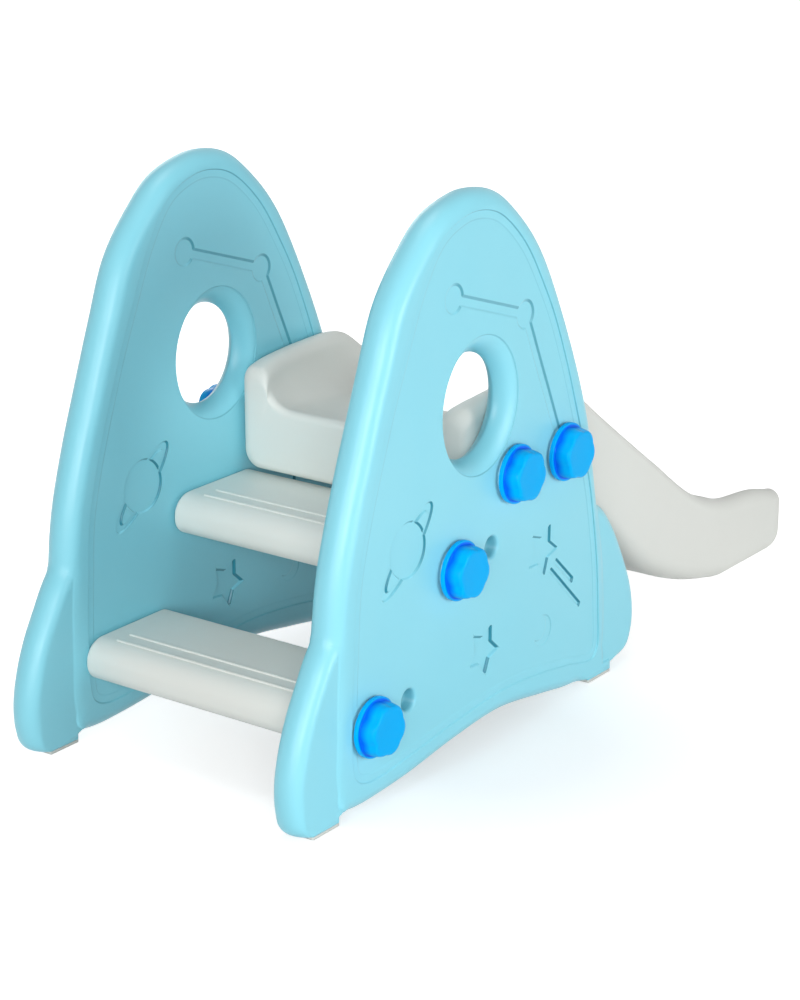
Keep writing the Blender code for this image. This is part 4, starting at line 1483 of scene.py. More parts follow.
def rib_tree() -> Tree:
    """Builds the tree that sets a row of round-ended ribs along Y onto a moulding.

    Returns:
        The tree.
    """
    tree = bpy.data.node_groups.new("Grip Ribs", "GeometryNodeTree")
    make = TreeMaker(tree)
    given = make.interface({
        "Moulding": "Geometry", "Count": 2, "First": (0.0, 0.0, 0.0), "Spacing": 0.023,
        "Length": 0.3, "Width": 0.005, "Height": 0.0018, "Finish": "Material",
    }, Part="Geometry")
    ball = make.add("GeometryNodeMeshUVSphere", {"Segments": 20, "Rings": 11, "Radius": 1.0})
    bead = make.add("GeometryNodeTransform", {0: ball.outputs[0], "Rotation": (math.pi / 2, 0, 0)})
    half_width = make.times(given["Width"], 0.5)
    squeezed = make.add("GeometryNodeTransform", {
        0: bead.outputs[0], "Scale": make.vector(half_width, half_width, given["Height"]),
    })
    place = make.parts(make.add("GeometryNodeInputPosition").outputs[0])
    reach = make.times(make.minus(given["Length"], given["Width"]), 0.5)
    stretched = make.add("GeometryNodeSetPosition", {
        0: squeezed.outputs[0], "Offset": make.vector(y=make.times(make.math("SIGN", place[1]), reach)),
    })
    line = make.add("GeometryNodeMeshLine", {
        "Count": given["Count"], "Start Location": given["First"],
        "Offset": make.vector(x=given["Spacing"]),
    }, mode="OFFSET")
    ribs = make.add("GeometryNodeInstanceOnPoints", {
        "Points": line.outputs[0], "Instance": stretched.outputs[0],
    })
    real = make.add("GeometryNodeRealizeInstances", {0: ribs.outputs[0]})
    smooth = make.add("GeometryNodeSetShadeSmooth", {0: real.outputs[0]})
    joined = make.add("GeometryNodeJoinGeometry", {0: smooth.outputs[0]})
    tree.links.new(given["Moulding"], joined.inputs[0])
    coated = make.add("GeometryNodeSetMaterial", {0: joined.outputs[0], "Material": given["Finish"]})
    make.add("NodeGroupOutput", {0: coated.outputs[0]})
    return tree


def through_tree(item: Piece, tree: Tree, values: dict[str, object], outward: bool = False) -> Piece:
    """Runs an object through a geometry tree and keeps the result as its plain mesh.

    Args:
        item: The object, whose mesh is the tree's first input.
        tree: The tree.
        values: The tree's other inputs by name.
        outward: Whether the faces of the result are turned outwards.

    Returns:
        The same object, its modifier gone.
    """
    modifier = item.modifiers.new("shape", "NODES")
    modifier.node_group = tree
    sockets = {s.name: s.identifier for s in tree.interface.items_tree if s.in_out == "INPUT"}
    for name, value in values.items():
        modifier[sockets[name]] = value
    bpy.context.view_layer.update()
    graph = bpy.context.evaluated_depsgraph_get()
    made = bpy.data.meshes.new_from_object(item.evaluated_get(graph))
    item.modifiers.clear()
    item.data = made
    made.name = item.name
    if outward:
        shape = bmesh.new()
        shape.from_mesh(made)
        bmesh.ops.remove_doubles(shape, verts=shape.verts, dist=1e-6)
        bmesh.ops.dissolve_degenerate(shape, dist=1e-7, edges=shape.edges)
        bmesh.ops.recalc_face_normals(shape, faces=shape.faces)
        shape.to_mesh(made)
        shape.free()
    made.shade_smooth()
    return item


# Seat, chute and steps.


@dataclass(frozen=True)
class SeatChute:
    """The seat and the chute, moulded in one hollow piece."""

    rear_x: float = 0.372
    tip_x: float = 1.2167
    wall_width: float = 0.034
    rim_round: float = 0.0165
    bed_round: float = 0.040
    lower_round: float = 0.034
    rear_plan_round: float = 0.017
    rear_edge: float = 0.013
    rear_wall: float = 0.012
    rear_wall_reach: float = 0.060
    rear_lower_less: float = 0.011
    rear_lower_reach: float = 0.14
    station_gap: float = 7.5 * MM
    least_gap: float = 0.12 * MM
    tip_plan_round: float = 0.045
    tip_nose: float = 0.028
    tip_height: float = 0.034
    arc_steps: int = 9
    rim_line: tuple[Point2, ...] = (
        (0.372, 0.404), (0.380, 0.4095), (0.390, 0.413), (0.405, 0.4165), (0.425, 0.419),
        (0.480, 0.4225), (0.530, 0.4235), (0.560, 0.4195), (0.598, 0.396), (0.684, 0.333),
        (0.822, 0.235), (0.940, 0.155), (0.993, 0.133), (1.040, 0.121), (1.120, 0.112),
        (1.189, 0.095), (1.2167, 0.090),
    )
    bed_line: tuple[Point2, ...] = (
        (0.372, 0.366), (0.400, 0.359), (0.440, 0.356), (0.490, 0.356), (0.530, 0.350),
        (0.570, 0.331), (0.620, 0.298), (0.900, 0.100), (0.950, 0.074), (1.000, 0.064),
        (1.060, 0.060), (1.2167, 0.058),
    )
    underside_line: tuple[Point2, ...] = (
        (0.372, 0.276), (0.530, 0.276), (0.560, 0.267), (0.793, 0.093), (0.832, 0.068),
        (0.887, 0.042), (0.950, 0.020), (1.002, 0.007), (1.040, 0.000), (1.2167, 0.000),
    )

    def section(self, x: float) -> Array:
        """Draws a closed loop across the moulding.

        Args:
            x: Where, from the rear foot.

        Returns:
            The loop's points.
        """
        from_rear, from_tip = x - self.rear_x, self.tip_x - x
        half = HALF_CLEAR - CONTACT_GAP
        half -= eased(from_rear, self.rear_plan_round) + eased(from_tip, self.tip_plan_round)
        rear_edge = eased(from_rear, self.rear_edge)
        rim = height_at(self.rim_line, x) - rear_edge
        bed = height_at(self.bed_line, x) - rear_edge
        low = height_at(self.underside_line, x) + rear_edge
        fade = 1 - eased(from_tip, self.tip_nose) / self.tip_nose
        tip = self.tip_height
        low, bed, rim = (tip + (level - tip) * fade for level in (low, bed, rim))
        rise = max(rim - bed, MM)
        rim_round = min(self.rim_round, 0.49 * rise, 0.49 * self.wall_width)
        bowl = (min(self.bed_round, rise), max(rise - rim_round, 0.4 * MM))
        less = self.rear_lower_less * max(1 - from_rear / self.rear_lower_reach, 0)
        lower_round = min(self.lower_round - less, 0.45 * (rim - low))
        thicker = self.rear_wall * max(1 - from_rear / self.rear_wall_reach, 0) ** 2
        inner = HALF_CLEAR - CONTACT_GAP - self.wall_width - thicker
        inner -= eased(from_tip, self.tip_plan_round)
        wall = half - inner
        steps = self.arc_steps
        points = [(0.0, low), (half * 0.4, low)]
        points += arc((half - lower_round, low + lower_round), (lower_round,) * 2, -90, 0, steps)
        points += arc((half - rim_round, rim - rim_round), (rim_round,) * 2, 0, 90, steps)
        crest = min(rim_round, wall - rim_round)
        points += arc((inner + crest, rim - rim_round), (crest, rim_round), 90, 180, steps)
        points += arc((inner - bowl[0], bed + bowl[1]), bowl, 0, -90, steps + 5)
        points += [(inner * 0.45, bed), (0.0, bed)]
        mirror = [(-y, z) for y, z in reversed(points[1:-1])]
        return np.array([(x - DRAWN_CENTRE_X, y, z) for y, z in points + mirror])

    def stations(self) -> list[float]:
        """Spreads the sections along X, closer together at both ends.

        Returns:
            Their places, in order.
        """
        places = {self.rear_x + away for away, _ in quarter(self.rear_plan_round, 9)}
        places |= {self.rear_x + away for away, _ in quarter(self.rear_edge, 7)}
        places |= {self.tip_x - away for away, _ in quarter(self.tip_plan_round, 12)}
        places |= {self.tip_x - away for away, _ in quarter(self.tip_nose, 9)}
        start, end = self.rear_x + self.rear_plan_round, self.tip_x - self.tip_plan_round
        gap = self.station_gap
        places |= set(np.arange(start + 0.8 * gap, end - 0.4 * gap, gap).tolist())
        kept: list[float] = []
        for place in sorted(places):
            if not kept or place - kept[-1] > self.least_gap:
                kept.append(place)
        return kept

    def build(self, material: Material) -> None:
        """Builds the seat and chute's one piece.

        Args:
            material: Its plastic.
        """
        points, faces = lofted([self.section(x) for x in self.stations()])
        piece = mesh_object("seat_and_chute", points, faces)
        piece.data.set_sharp_from_angle(angle=math.radians(38))
        dress(piece, material, "frame", Slot.MOULDING, "slide_chute")


@dataclass(frozen=True)
class Step:
    """A hollow step between the panels, with grip ribs near its nose."""

    place: ScrewPlace
    depth: float = 0.1495
    thickness: float = 0.0525
    nose_overhang: float = 0.045
    top_above_axis: float = 0.025
    upper_nose: Point2 = (0.030, 0.027)
    lower_nose: Point2 = (0.022, 0.0215)
    rear_round: float = 0.008
    end_round: float = 0.006
    peg_radius: float = 0.012
    peg_length: float = 0.016
    rib_count: int = 2
    rib_from_nose: float = 0.028
    rib_spacing: float = 0.023
    rib_width: float = 0.0056
    rib_height: float = 0.0018
    rib_end_margin: float = 0.029

    def profile(self, inset: float) -> list[Point2]:
        """Draws the step's side view, from the nose, with its top at zero.

        Args:
            inset: How much it is shrunk on every side.

        Returns:
            The points, as X and Z.
        """
        low, back = inset - self.thickness, self.depth - inset
        upper, lower = self.upper_nose, self.lower_nose
        rear = max(self.rear_round - inset / 2, MM)
        points = arc((upper[0], -upper[1]), (upper[0] - inset, upper[1] - inset), 180, 90, 14)
        points += arc((back - rear, -inset - rear), (rear, rear), 90, 0, 6)
        points += arc((back - rear, low + rear), (rear, rear), 0, -90, 6)
        centre = (lower[0], lower[1] - self.thickness)
        points += arc(centre, (lower[0] - inset, lower[1] - inset), -90, -180, 12)
        return points

    @property
    def nose(self) -> Point2:
        """World X of the step's nose and Z of its top."""
        x, z = self.place.axis
        return x - self.nose_overhang - DRAWN_CENTRE_X, z + self.top_above_axis

    def loop(self, y: float, inset: float) -> Array:
        """The side view at a place along the step."""
        return np.array([(self.nose[0] + x, y, self.nose[1] + z) for x, z in self.profile(inset)])

    def pegs(self) -> list[Piece]:
        """Builds the locating pegs of both ends.

        Returns:
            The pegs.
        """
        root, tip = HALF_CLEAR - CONTACT_GAP, HALF_CLEAR - CONTACT_GAP + self.peg_length
        centre = (self.place.peg[0] - DRAWN_CENTRE_X, self.place.peg[1])
        ends = ((root - 2 * MM, 0.0), (tip - 1.5 * MM, 0.0), (tip - 0.5 * MM, 0.5 * MM), (tip, 1.5 * MM))
        made = []
        for side in Side:
            rows = []
            for y, inset in ends:
                ring = ellipse_points(centre, self.peg_radius - inset, self.peg_radius - inset, 40)
                rows.append(np.array([(x, side.value * y, z) for x, z in ring]))
            peg = mesh_object("peg", *lofted(rows))
            peg.data.set_sharp_from_angle(angle=math.radians(40))
            made.append(peg)
        return made

    def build(self, material: Material, ribs: Tree) -> None:
        """Builds the step's one piece, with its ribs set on by the geometry tree.

        Args:
            material: Its plastic.
            ribs: The Grip Ribs tree.
        """
        half = HALF_CLEAR - CONTACT_GAP
        ends = [(half - away, inset) for away, inset in quarter(self.end_round, 7)]
        rows = [(-y, inset) for y, inset in ends] + [(y, inset) for y, inset in reversed(ends)]
        piece = mesh_object(f"{self.place.word}_tread", *lofted([self.loop(y, i) for y, i in rows]))
        join_into(piece, self.pegs())
        first = (self.nose[0] + self.rib_from_nose, 0, self.nose[1])
        through_tree(piece, ribs, {
            "Count": self.rib_count, "First": first, "Spacing": self.rib_spacing,
            "Length": 2 * (half - self.rib_end_margin), "Width": self.rib_width,
            "Height": self.rib_height, "Finish": material,
        })
        dress(piece, material, "frame", Slot.MOULDING, self.place.word)


# Screws and washers.


@dataclass(frozen=True)
class ProfileRow:
    """A point of a turned part's profile, and how strongly it takes lobes, thread, corners and painted
    shade.
    """

    height: float
    radius: float
    lobe: float = 0.0
    thread: float = 0.0
    corner: float = 0.0
    crease: float = 0.0


def turned_part(
    name: str, rows: Sequence[ProfileRow], tree: Tree, values: dict[str, object]
) -> Piece:
    """Turns a profile on Z through the geometry tree.

    Args:
        name: The piece's name.
        rows: Its profile, first to last.
        tree: The Turned Part tree.
        values: The tree's inputs by name.

    Returns:
        The part's object.
    """
    mesh = bpy.data.meshes.new(name)
    links = [(i, i + 1) for i in range(len(rows) - 1)]
    mesh.from_pydata([(row.radius, 0, row.height) for row in rows], links, [])
    for kind in ("lobe", "thread", "corner", "crease"):
        marks = mesh.attributes.new(kind, "FLOAT", "POINT")
        marks.data.foreach_set("value", [getattr(row, kind) for row in rows])
    made = bpy.data.objects.new(name, mesh)
    bpy.context.scene.collection.objects.link(made)
    return through_tree(made, tree, values, outward=True)


@dataclass(frozen=True)
class HandScrew:
    """A large cup-shaped hand screw with a skirted flange, a lobed grip and a coarse thread."""

    place: ScrewPlace
    side: Side
    seat: float = 4.1 * MM
    flange_radius: float = 0.037
    flange_thickness: float = 3 * MM
    crown_height: float = 0.020
    base_radius: float = 0.0324
    front_radius: float = 0.0298
    front_round: float = 3.6 * MM
    lobe_depth: float = 2.0 * MM
    skirt_low: float = 1.6 * MM
    skirt_thickness: float = 2.0 * MM
    shank_radius: float = 0.011
    tip: float = -0.0718
    thread_length: float = 0.030
    thread_depth: float = 0.7 * MM
    thread_rows: int = 44
    pitch: float = 0.008
    wall: float = 3 * MM
    rim_round: float = 0.9 * MM
    fillet: float = 1.3 * MM
    # Painted shade where the crown meets the flange.
    crown_foot_shade: float = 0.9

    def shank(self, top: float) -> list[ProfileRow]:
        """Draws the shank with its thread.

        Args:
            top: Where it runs into the cup.

        Returns:
            Its rows, from the middle of its tip up.
        """
        radius, tip = self.shank_radius, self.tip
        rows = [ProfileRow(tip, 0.0), ProfileRow(tip, 0.0078), ProfileRow(tip + 0.6 * MM, 0.0086)]
        for share in np.arange(self.thread_rows + 1) / self.thread_rows:
            depth = self.thread_depth * float(ramp(share, 0, 0.1) * (1 - ramp(share, 0.92, 1.0)))
            height = tip + 1.2 * MM + float(share) * self.thread_length
            rows.append(ProfileRow(height, radius - 0.1 * MM, thread=depth))
        return rows + [ProfileRow(tip + self.thread_length + 3 * MM, radius), ProfileRow(top, radius)]

    def rows(self) -> list[ProfileRow]:
        """Draws the screw's profile.

        Returns:
            Its rows, from the middle of its tip to the middle of its face.
        """
        radius, flange_top = self.shank_radius, self.seat + self.flange_thickness
        front = flange_top + self.crown_height
        under, soft, cup = front - self.wall, 1.5 * MM, 2 * MM + self.wall
        skirt_inner = self.flange_radius - self.skirt_thickness
        rows = self.shank(under - soft)
        for z, r in (
            (under, radius + soft), (under, self.front_radius - cup - 2 * MM),
            (under - soft, self.front_radius - cup), (self.seat, self.base_radius - cup),
            (self.seat, skirt_inner), (self.skirt_low, skirt_inner),
        ):
            rows.append(ProfileRow(z, r))
        rim, edge = self.rim_round, self.flange_radius - self.rim_round
        rounds = arc((self.skirt_low + rim, edge), (rim, rim), 180, 90, 4)
        rounds += arc((flange_top - rim, edge), (rim, rim), 90, 0, 4)
        rows += [ProfileRow(z, r) for z, r in rounds]
        # Painted shade round the crown's foot, fading out two thirds of the way up the crown.
        fillet, foot, deep = self.fillet, self.base_radius - 0.2 * MM, self.crown_foot_shade
        for z, r in arc((flange_top + fillet, foot + fillet), (fillet, fillet), 180, 270, 4):
            rows.append(ProfileRow(z, r, lobe=0.5 * self.lobe_depth, crease=deep))
        lift, inner = self.front_round, self.front_radius - self.front_round
        top, low = front - lift, flange_top + fillet
        for k in range(1, 7):
            share = k / 6
            z = low + share * (top - low)
            r = foot + share * (self.front_radius - foot) + 0.5 * MM * math.sin(math.pi * share)
            lobe = self.lobe_depth * (0.55 + 0.45 * share)
            rows.append(ProfileRow(z, r, lobe=lobe, crease=deep * max(1 - 1.5 * share, 0)))
        for z, r in arc((top, inner), (lift, lift), 90, 0, 8)[1:]:
            rows.append(ProfileRow(z, r, lobe=self.lobe_depth * (1 - 0.35 * (z - top) / lift)))
        rows.append(ProfileRow(front, inner * 0.86, lobe=0.3 * self.lobe_depth))
        for sunk, share in ((0.25 * MM, 0.72), (0.4 * MM, 0.45), (0.45 * MM, 0.0)):
            rows.append(ProfileRow(front - sunk, inner * share))
        return rows

    def build(self, material: Material, tree: Tree) -> None:
        """Builds the screw's one piece in its place.

        Args:
            material: Its plastic.
            tree: The Turned Part tree.
        """
        piece = turned_part(f"{self.place.word}_{self.side.word}_hand_screw", self.rows(), tree, {
            "Sides": 96, "Lobes": 6, "Lobe Turn": 0.6, "Pitch": self.pitch, "Finish": material,
        })
        piece.data.transform(axis_place(self.place, self.side))
        body = f"{self.place.word}_screw_{self.side.word}"
        dress(piece, material, body, Slot.SCREW, body)


@dataclass(frozen=True)
class Washer:
    """A hexagonal washer behind a hand screw, inside the skirt of its flange."""

    place: ScrewPlace
    side: Side
    low: float = 0.8 * MM
    thickness: float = 3 * MM
    corner_radius: float = 0.0348
    hole_radius: float = 0.012
    bevel: float = 0.5 * MM

    def rows(self) -> list[ProfileRow]:
        """Draws the washer's profile.

        Returns:
            Its rows, round the section and back to where they start.
        """
        low, high, b, soft = self.low, self.low + self.thickness, self.bevel, 0.3 * self.bevel
        outer, hole = self.corner_radius, self.hole_radius
        line = [
            (low, hole + b, 0), (low, outer * 0.6, 0.6), (low, outer - b, 1),
            (low + soft, outer - soft, 1), (low + b, outer, 1), (high - b, outer, 1),
            (high - soft, outer - soft, 1), (high, outer - b, 1), (high, outer * 0.6, 0.6),
            (high, hole + b, 0), (high - soft, hole + soft, 0), (high - b, hole, 0),
            (low + b, hole, 0), (low + soft, hole + soft, 0), (low, hole + b, 0),
        ]
        return [ProfileRow(z, r, corner=c) for z, r, c in line]

    def build(self, material: Material, tree: Tree) -> None:
        """Builds the washer's one piece in its place.

        Args:
            material: Its plastic.
            tree: The Turned Part tree.
        """
        piece = turned_part(f"{self.place.word}_{self.side.word}_hex_washer", self.rows(), tree, {
            "Sides": 72, "Corners": 6, "Corner Limit": 0.985, "Finish": material,
        })
        turn = -self.side.value * self.place.value[2]
        turned = Matrix.Rotation(math.radians(turn), 4, "Z")
        piece.data.transform(axis_place(self.place, self.side) @ turned)
        piece.data.set_sharp_from_angle(angle=math.radians(40))
        body = f"{self.place.word}_washer_{self.side.word}"
        dress(piece, material, body, Slot.WASHER, body)


def axis_place(place: ScrewPlace, side: Side) -> Matrix:
    """Where a part drawn on Z goes, with its outer end away from the slide."""
    location = (place.axis[0] - DRAWN_CENTRE_X, side.value * HALF_OUTER, place.axis[1])
    return Matrix.Translation(location) @ Matrix.Rotation(-side.value * math.pi / 2, 4, "X")


# Finishes.


def noise(make: TreeMaker, vector: Socket, scale: object, detail: float, rough: float) -> Socket:
    """Adds a noise texture and gives its value."""
    inputs = {"Vector": vector, "Scale": scale, "Detail": detail, "Roughness": rough}
    return make.add("ShaderNodeTexNoise", inputs).outputs[0]


def moulded_skin_group() -> Tree:
    """Builds the shader group of a moulded plastic skin: colour with painted shade, roughness and fine
    relief.

    Returns:
        The group, built once for every material.
    """
    tree = bpy.data.node_groups.new("Moulded Skin", "ShaderNodeTree")
    make = TreeMaker(tree)
    given = make.interface({
        "Vector": "Vector", "Colour": "Color", "Cloud Colour": "Color", "Painted Shade Colour": "Color",
        "Crease": 0.0, "Cloud Scale": 9.0, "Roughness": 0.4, "Roughness Spread": 0.05,
        "Grain Scale": 700.0, "Grain": 0.4, "Orange Peel": 1.0,
    }, Color="Color", Roughness="Float", Height="Float")
    place = given["Vector"]
    cloud = noise(make, place, given["Cloud Scale"], 3.0, 0.55)
    span = {"Value": cloud, "From Min": 0.3, "From Max": 0.7}
    spread = make.add("ShaderNodeMapRange", span).outputs[0]
    clouded = make.mixed(spread, given["Colour"], given["Cloud Colour"])
    # Painted shade: the colour turns to the shade colour as the crease attribute grows.
    with_painted_shade = make.mixed(given["Crease"], clouded, given["Painted Shade Colour"])
    patch = make.minus(noise(make, place, 34.0, 2.0, 0.5), 0.5)
    patchy = make.times(patch, make.times(given["Roughness Spread"], 4))
    peel = make.times(noise(make, place, 150.0, 1.0, 0.4), given["Orange Peel"])
    grain = make.times(noise(make, place, given["Grain Scale"], 2.0, 0.6), given["Grain"])
    rough = make.plus(given["Roughness"], patchy)
    height = make.plus(peel, grain)
    make.add("NodeGroupOutput", {"Color": with_painted_shade, "Roughness": rough, "Height": height})
    return tree


def handling_group() -> Tree:
    """Builds the shader group of light handling marks: fine scuffs along one direction.

    Returns:
        The group.
    """
    tree = bpy.data.node_groups.new("Handling Marks", "ShaderNodeTree")
    make = TreeMaker(tree)
    given = make.interface(
        {"Vector": "Vector", "Stretch": (1.0, 1.0, 1.0), "Base": 0.4, "Amount": 0.1}, Roughness="Float"
    )
    stretch = {0: given["Vector"], 1: given["Stretch"]}
    drawn = make.add("ShaderNodeVectorMath", stretch, operation="MULTIPLY").outputs[0]
    streak = noise(make, drawn, 60.0, 4.0, 0.65)
    span = {"Value": streak, "From Min": 0.52, "From Max": 0.72}
    mark = make.add("ShaderNodeMapRange", span).outputs[0]
    rough = make.plus(given["Base"], make.times(mark, given["Amount"]))
    make.add("NodeGroupOutput", {"Roughness": rough})
    return tree


@dataclass(frozen=True)
class PlasticFinish:
    """A moulded plastic, from its colours to the size of its grain."""

    name: str
    colour: Colour
    cloud: Colour
    crease: Colour
    roughness: float
    roughness_spread: float = 0.04
    cloud_scale: float = 6.0
    grain_scale: float = 900.0
    grain: float = 0.3
    peel: float = 1.0
    relief: float = 0.05 * MM
    coat: float = 0.0
    coat_roughness: float = 0.1
    specular: float = 0.5
    scuff: float = 0.0
    scuff_stretch: Point3 = (0.08, 1.0, 1.0)

    def material(self, skin: Tree, marks: Tree) -> Material:
        """Builds the finish's material.

        Args:
            skin: The Moulded Skin group.
            marks: The Handling Marks group.

        Returns:
            The material.
        """
        made = bpy.data.materials.new(self.name)
        made.use_nodes = True
        make = TreeMaker(made.node_tree)
        place = make.add("ShaderNodeTexCoord").outputs["Object"]
        # Painted shade, read from the piece's crease attribute.
        crease = make.add("ShaderNodeAttribute", attribute_name="crease").outputs["Fac"]
        group = make.add("ShaderNodeGroup", {
            "Vector": place, "Colour": (*self.colour, 1), "Cloud Colour": (*self.cloud, 1),
            "Painted Shade Colour": (*self.crease, 1), "Crease": crease, "Cloud Scale": self.cloud_scale,
            "Roughness": self.roughness, "Roughness Spread": self.roughness_spread,
            "Grain Scale": self.grain_scale, "Grain": self.grain, "Orange Peel": self.peel,
        }, node_tree=skin).outputs
        rough = group["Roughness"]
        if self.scuff:
            rough = make.add("ShaderNodeGroup", {
                "Vector": place, "Base": rough, "Stretch": self.scuff_stretch, "Amount": self.scuff,
            }, node_tree=marks).outputs["Roughness"]
        relief = {"Height": group["Height"], "Distance": self.relief, "Strength": 1.0}
        bump = make.add("ShaderNodeBump", relief)
        make.fill(made.node_tree.nodes["Principled BSDF"], {
            "Base Color": group["Color"], "Roughness": rough, "Normal": bump.outputs[0],
            "Metallic": 0.0, "Coat Weight": self.coat, "Coat Roughness": self.coat_roughness,
            "Specular IOR Level": self.specular,
        })
        return made


# The third colour of each finish is its painted shade.
FINISHES = {
    Slot.PANEL: PlasticFinish(
        "pale_blue_moulded_plastic", (0.266, 0.690, 0.812), (0.252, 0.675, 0.802), (0.015, 0.22, 0.30),
        roughness=0.34, cloud_scale=5.0, specular=0.4,
    ),
    Slot.MOULDING: PlasticFinish(
        "soft_grey_moulded_plastic", (0.750, 0.770, 0.730), (0.738, 0.757, 0.716), (0.4, 0.43, 0.41),
        roughness=0.46, scuff=0.06,
    ),
    Slot.SCREW: PlasticFinish(
        "bright_blue_gloss_plastic", (0.0, 0.440, 0.92), (0.0, 0.420, 0.91), (0.0, 0.150, 0.86),
        roughness=0.24, roughness_spread=0.02, peel=0.5, relief=0.03 * MM, coat=0.04,
        coat_roughness=0.03, specular=0.05, cloud_scale=30.0,
    ),
    Slot.WASHER: PlasticFinish(
        "navy_plastic", (0.0, 0.045, 0.30), (0.0, 0.038, 0.27), (0.0, 0.02, 0.1),
        roughness=0.62, cloud_scale=30.0, specular=0.12,
    ),
    Slot.INSERT: PlasticFinish(
        "white_nylon", (0.80, 0.80, 0.78), (0.77, 0.77, 0.74), (0.5, 0.5, 0.5),
        roughness=0.42, cloud_scale=40.0,
    ),
    Slot.PAD: PlasticFinish(
        "grey_rubber", (0.66, 0.67, 0.64), (0.61, 0.62, 0.59), (0.3, 0.3, 0.3),
        roughness=0.78, cloud_scale=60.0, grain=1.2, grain_scale=1600.0, relief=0.12 * MM, specular=0.3,
    ),
}


# Studio and camera.


@dataclass(frozen=True)
class PhotoCamera:
    """The photograph's viewpoint."""

    location: Point3 = (-2.7115, -1.8904, 1.306)
    yaw: float = 36.1
    pitch: float = 18.42
    focal_pixels: float = 2620.0
    long_side_pixels: float = 1000.0

    def build(self) -> None:
        """Makes the camera and sets it as the scene's."""
        data = bpy.data.cameras.new("photo_camera")
        data.sensor_width = 36.0
        data.lens = self.focal_pixels / self.long_side_pixels * data.sensor_width
        camera = bpy.data.objects.new("photo_camera", data)
        bpy.context.scene.collection.objects.link(camera)
        yaw, pitch = math.radians(self.yaw), math.radians(self.pitch)
        level = math.cos(pitch)
        ahead = Vector((level * math.cos(yaw), level * math.sin(yaw), -math.sin(pitch)))
        camera.location = self.location
        camera.rotation_euler = ahead.to_track_quat("-Z", "Y").to_euler()
        bpy.context.scene.camera = camera


@dataclass(frozen=True)
class SoftLight:
    """A square softbox."""

    name: str
    location: Point3
    target: Point3
    size: float
    watts: float

    def build(self) -> None:
        """Hangs the light, turned to its target."""
        data = bpy.data.lights.new(self.name, "AREA")
        data.size = self.size
        data.energy = self.watts
        lamp = bpy.data.objects.new(self.name, data)
        bpy.context.scene.collection.objects.link(lamp)
        lamp.location = self.location
        toward = Vector(self.target) - Vector(self.location)
        lamp.rotation_euler = toward.to_track_quat("-Z", "Y").to_euler()


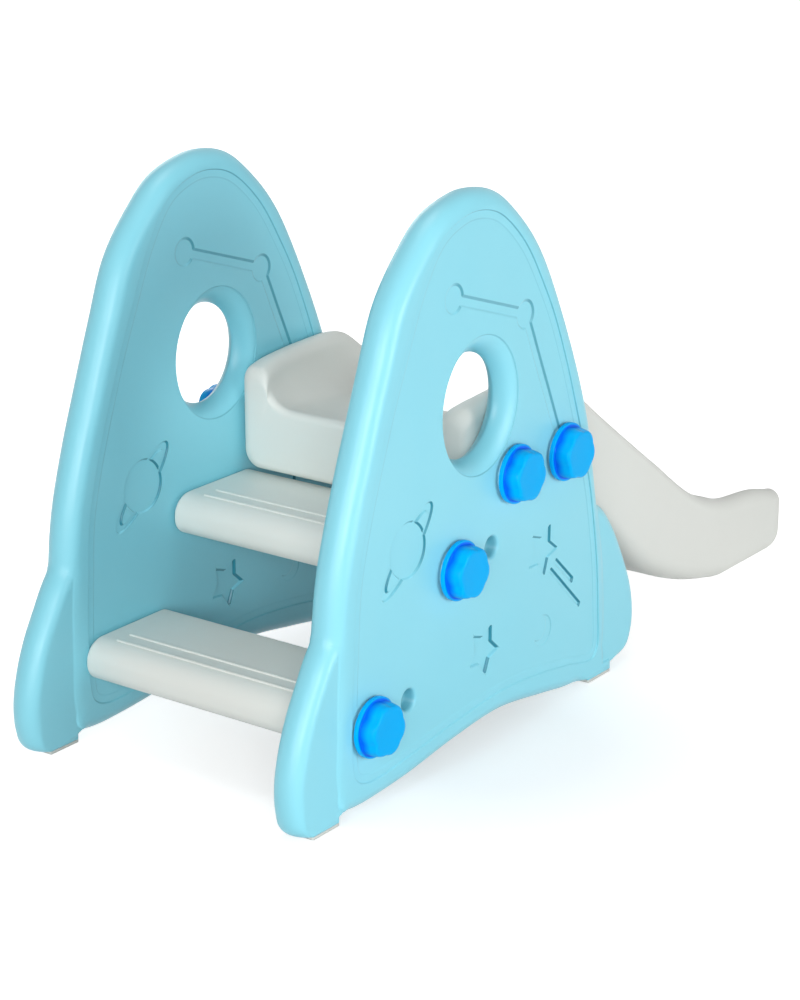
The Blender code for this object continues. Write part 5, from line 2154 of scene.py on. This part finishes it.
@dataclass(frozen=True)
class Studio:
    """A plain pale floor under soft light, white to the camera."""

    floor_reach: float = 30.0
    floor_tiles: int = 12
    floor_colour: Colour = (0.64, 0.64, 0.64)
    floor_lift_near: float = 0.47
    floor_lift_far: float = 1.0
    # The floor's camera glow is weakest here and grows outwards, so shadows stay only near this point.
    lift_centre: Point3 = (-0.25, -0.24, 0.0)
    lift_start: float = 0.12
    lift_end: float = 0.75
    zenith: float = 0.13
    horizon: float = 0.27
    lights: tuple[SoftLight, ...] = (
        SoftLight("front_softbox", (-3.9, -0.7, 1.2), (0.0, 0.0, 0.30), 1.8, 44.0),
        SoftLight("key_softbox", (-3.3, -2.3, 1.3), (0.0, 0.0, 0.30), 1.2, 56.0),
        SoftLight("side_softbox", (0.0, -3.8, 0.9), (0.0, 0.0, 0.15), 1.6, 60.0),
        SoftLight("top_softbox", (-0.2, 0.1, 3.2), (0.0, 0.0, 0.0), 1.4, 20.0),
        SoftLight("fill_softbox", (2.0, 3.6, 1.6), (0.0, 0.0, 0.3), 2.4, 30.0),
    )

    def world(self) -> None:
        """Sets the surroundings: soft ambient light, white where camera or gloss sees them."""
        world = bpy.data.worlds.new("studio")
        bpy.context.scene.world = world
        world.use_nodes = True
        world.node_tree.nodes.clear()
        make = TreeMaker(world.node_tree)
        up = make.parts(make.add("ShaderNodeTexCoord").outputs["Generated"])[2]
        ambient = make.add("ShaderNodeMapRange", {
            "Value": up, "From Min": 0.0, "From Max": 0.8, "To Min": self.horizon, "To Max": self.zenith,
        }).outputs[0]
        path = make.add("ShaderNodeLightPath").outputs
        gloss = make.math("MAXIMUM", path["Is Glossy Ray"], path["Is Transmission Ray"])
        seen = make.math("MAXIMUM", path["Is Camera Ray"], gloss)
        strength = make.math("MAXIMUM", seen, ambient)
        sky = make.add("ShaderNodeBackground", {"Color": (1, 1, 1, 1), "Strength": strength})
        make.add("ShaderNodeOutputWorld", {"Surface": sky.outputs[0]})

    def floor(self) -> None:
        """Lays the floor, lifted to white for the camera so that only shadows show on it; the lift is
        weakest near a point under the arch and grows outwards, which paints the shadows out away from
        it.
        """
        tiles = self.floor_tiles
        places = np.linspace(-self.floor_reach, self.floor_reach, tiles + 1)
        points = np.array([(x, y, 0.0) for x in places for y in places])
        corners = [i * (tiles + 1) + j for i in range(tiles) for j in range(tiles)]
        faces = [[k, k + tiles + 1, k + tiles + 2, k + 1] for k in corners]
        floor = mesh_object("studio_floor", points, faces, turn_out=False)
        made = bpy.data.materials.new("pale_floor")
        made.use_nodes = True
        make = TreeMaker(made.node_tree)
        path = make.add("ShaderNodeLightPath").outputs
        seen = make.math("MAXIMUM", path["Is Camera Ray"], path["Is Glossy Ray"])
        away = make.add("ShaderNodeVectorMath", {
            0: make.add("ShaderNodeTexCoord").outputs["Object"], 1: self.lift_centre,
        }, operation="DISTANCE").outputs["Value"]
        lift = make.add("ShaderNodeMapRange", {
            "Value": away, "From Min": self.lift_start, "From Max": self.lift_end,
            "To Min": self.floor_lift_near, "To Max": self.floor_lift_far,
        }).outputs[0]
        make.fill(made.node_tree.nodes["Principled BSDF"], {
            "Base Color": (*self.floor_colour, 1), "Roughness": 0.9, "Specular IOR Level": 0.1,
            "Emission Color": (1, 1, 1, 1), "Emission Strength": make.times(seen, lift),
        })
        floor.data.materials.append(made)

    def build(self) -> None:
        """Sets the surroundings, the floor and the lights."""
        self.world()
        self.floor()
        for light in self.lights:
            light.build()
            LOG.info("hung %s", light.name)
        bpy.context.scene.view_settings.view_transform = "Standard"


# The whole slide.


def main() -> None:
    """Builds the studio and every piece in order, and reports each."""
    logging.basicConfig(level=logging.INFO, format="%(name)s: %(message)s")
    PhotoCamera().build()
    Studio().build()
    skin, marks = moulded_skin_group(), handling_group()
    materials = {slot: finish.material(skin, marks) for slot, finish in FINISHES.items()}
    turned, ribs = turned_tree(), rib_tree()
    form = PanelForm()
    LOG.info("drew the panel sheet: %d points, %d faces", len(form.points), len(form.faces))
    LOG.info("sank into both faces: %s", ", ".join(motif.name for motif in form.motifs))
    for side in Side:
        SidePanel(side, form).build(materials[Slot.PANEL])
    SeatChute().build(materials[Slot.MOULDING])
    for place in STEP_PLACES:
        Step(place).build(materials[Slot.MOULDING], ribs)
    for side in Side:
        for place in ScrewPlace:
            HandScrew(place, side).build(materials[Slot.SCREW], turned)
            Washer(place, side).build(materials[Slot.WASHER], turned)
        for pad in FOOT_PADS:
            pad.build(side, materials[Slot.PAD], ribs)
    for name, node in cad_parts.items():
        if "_insert_" in name:
            node.data.materials.clear()
            node.data.materials.append(materials[Slot.INSERT])
            LOG.info("dressed %s", name)


if __name__ == "__main__":
    main()
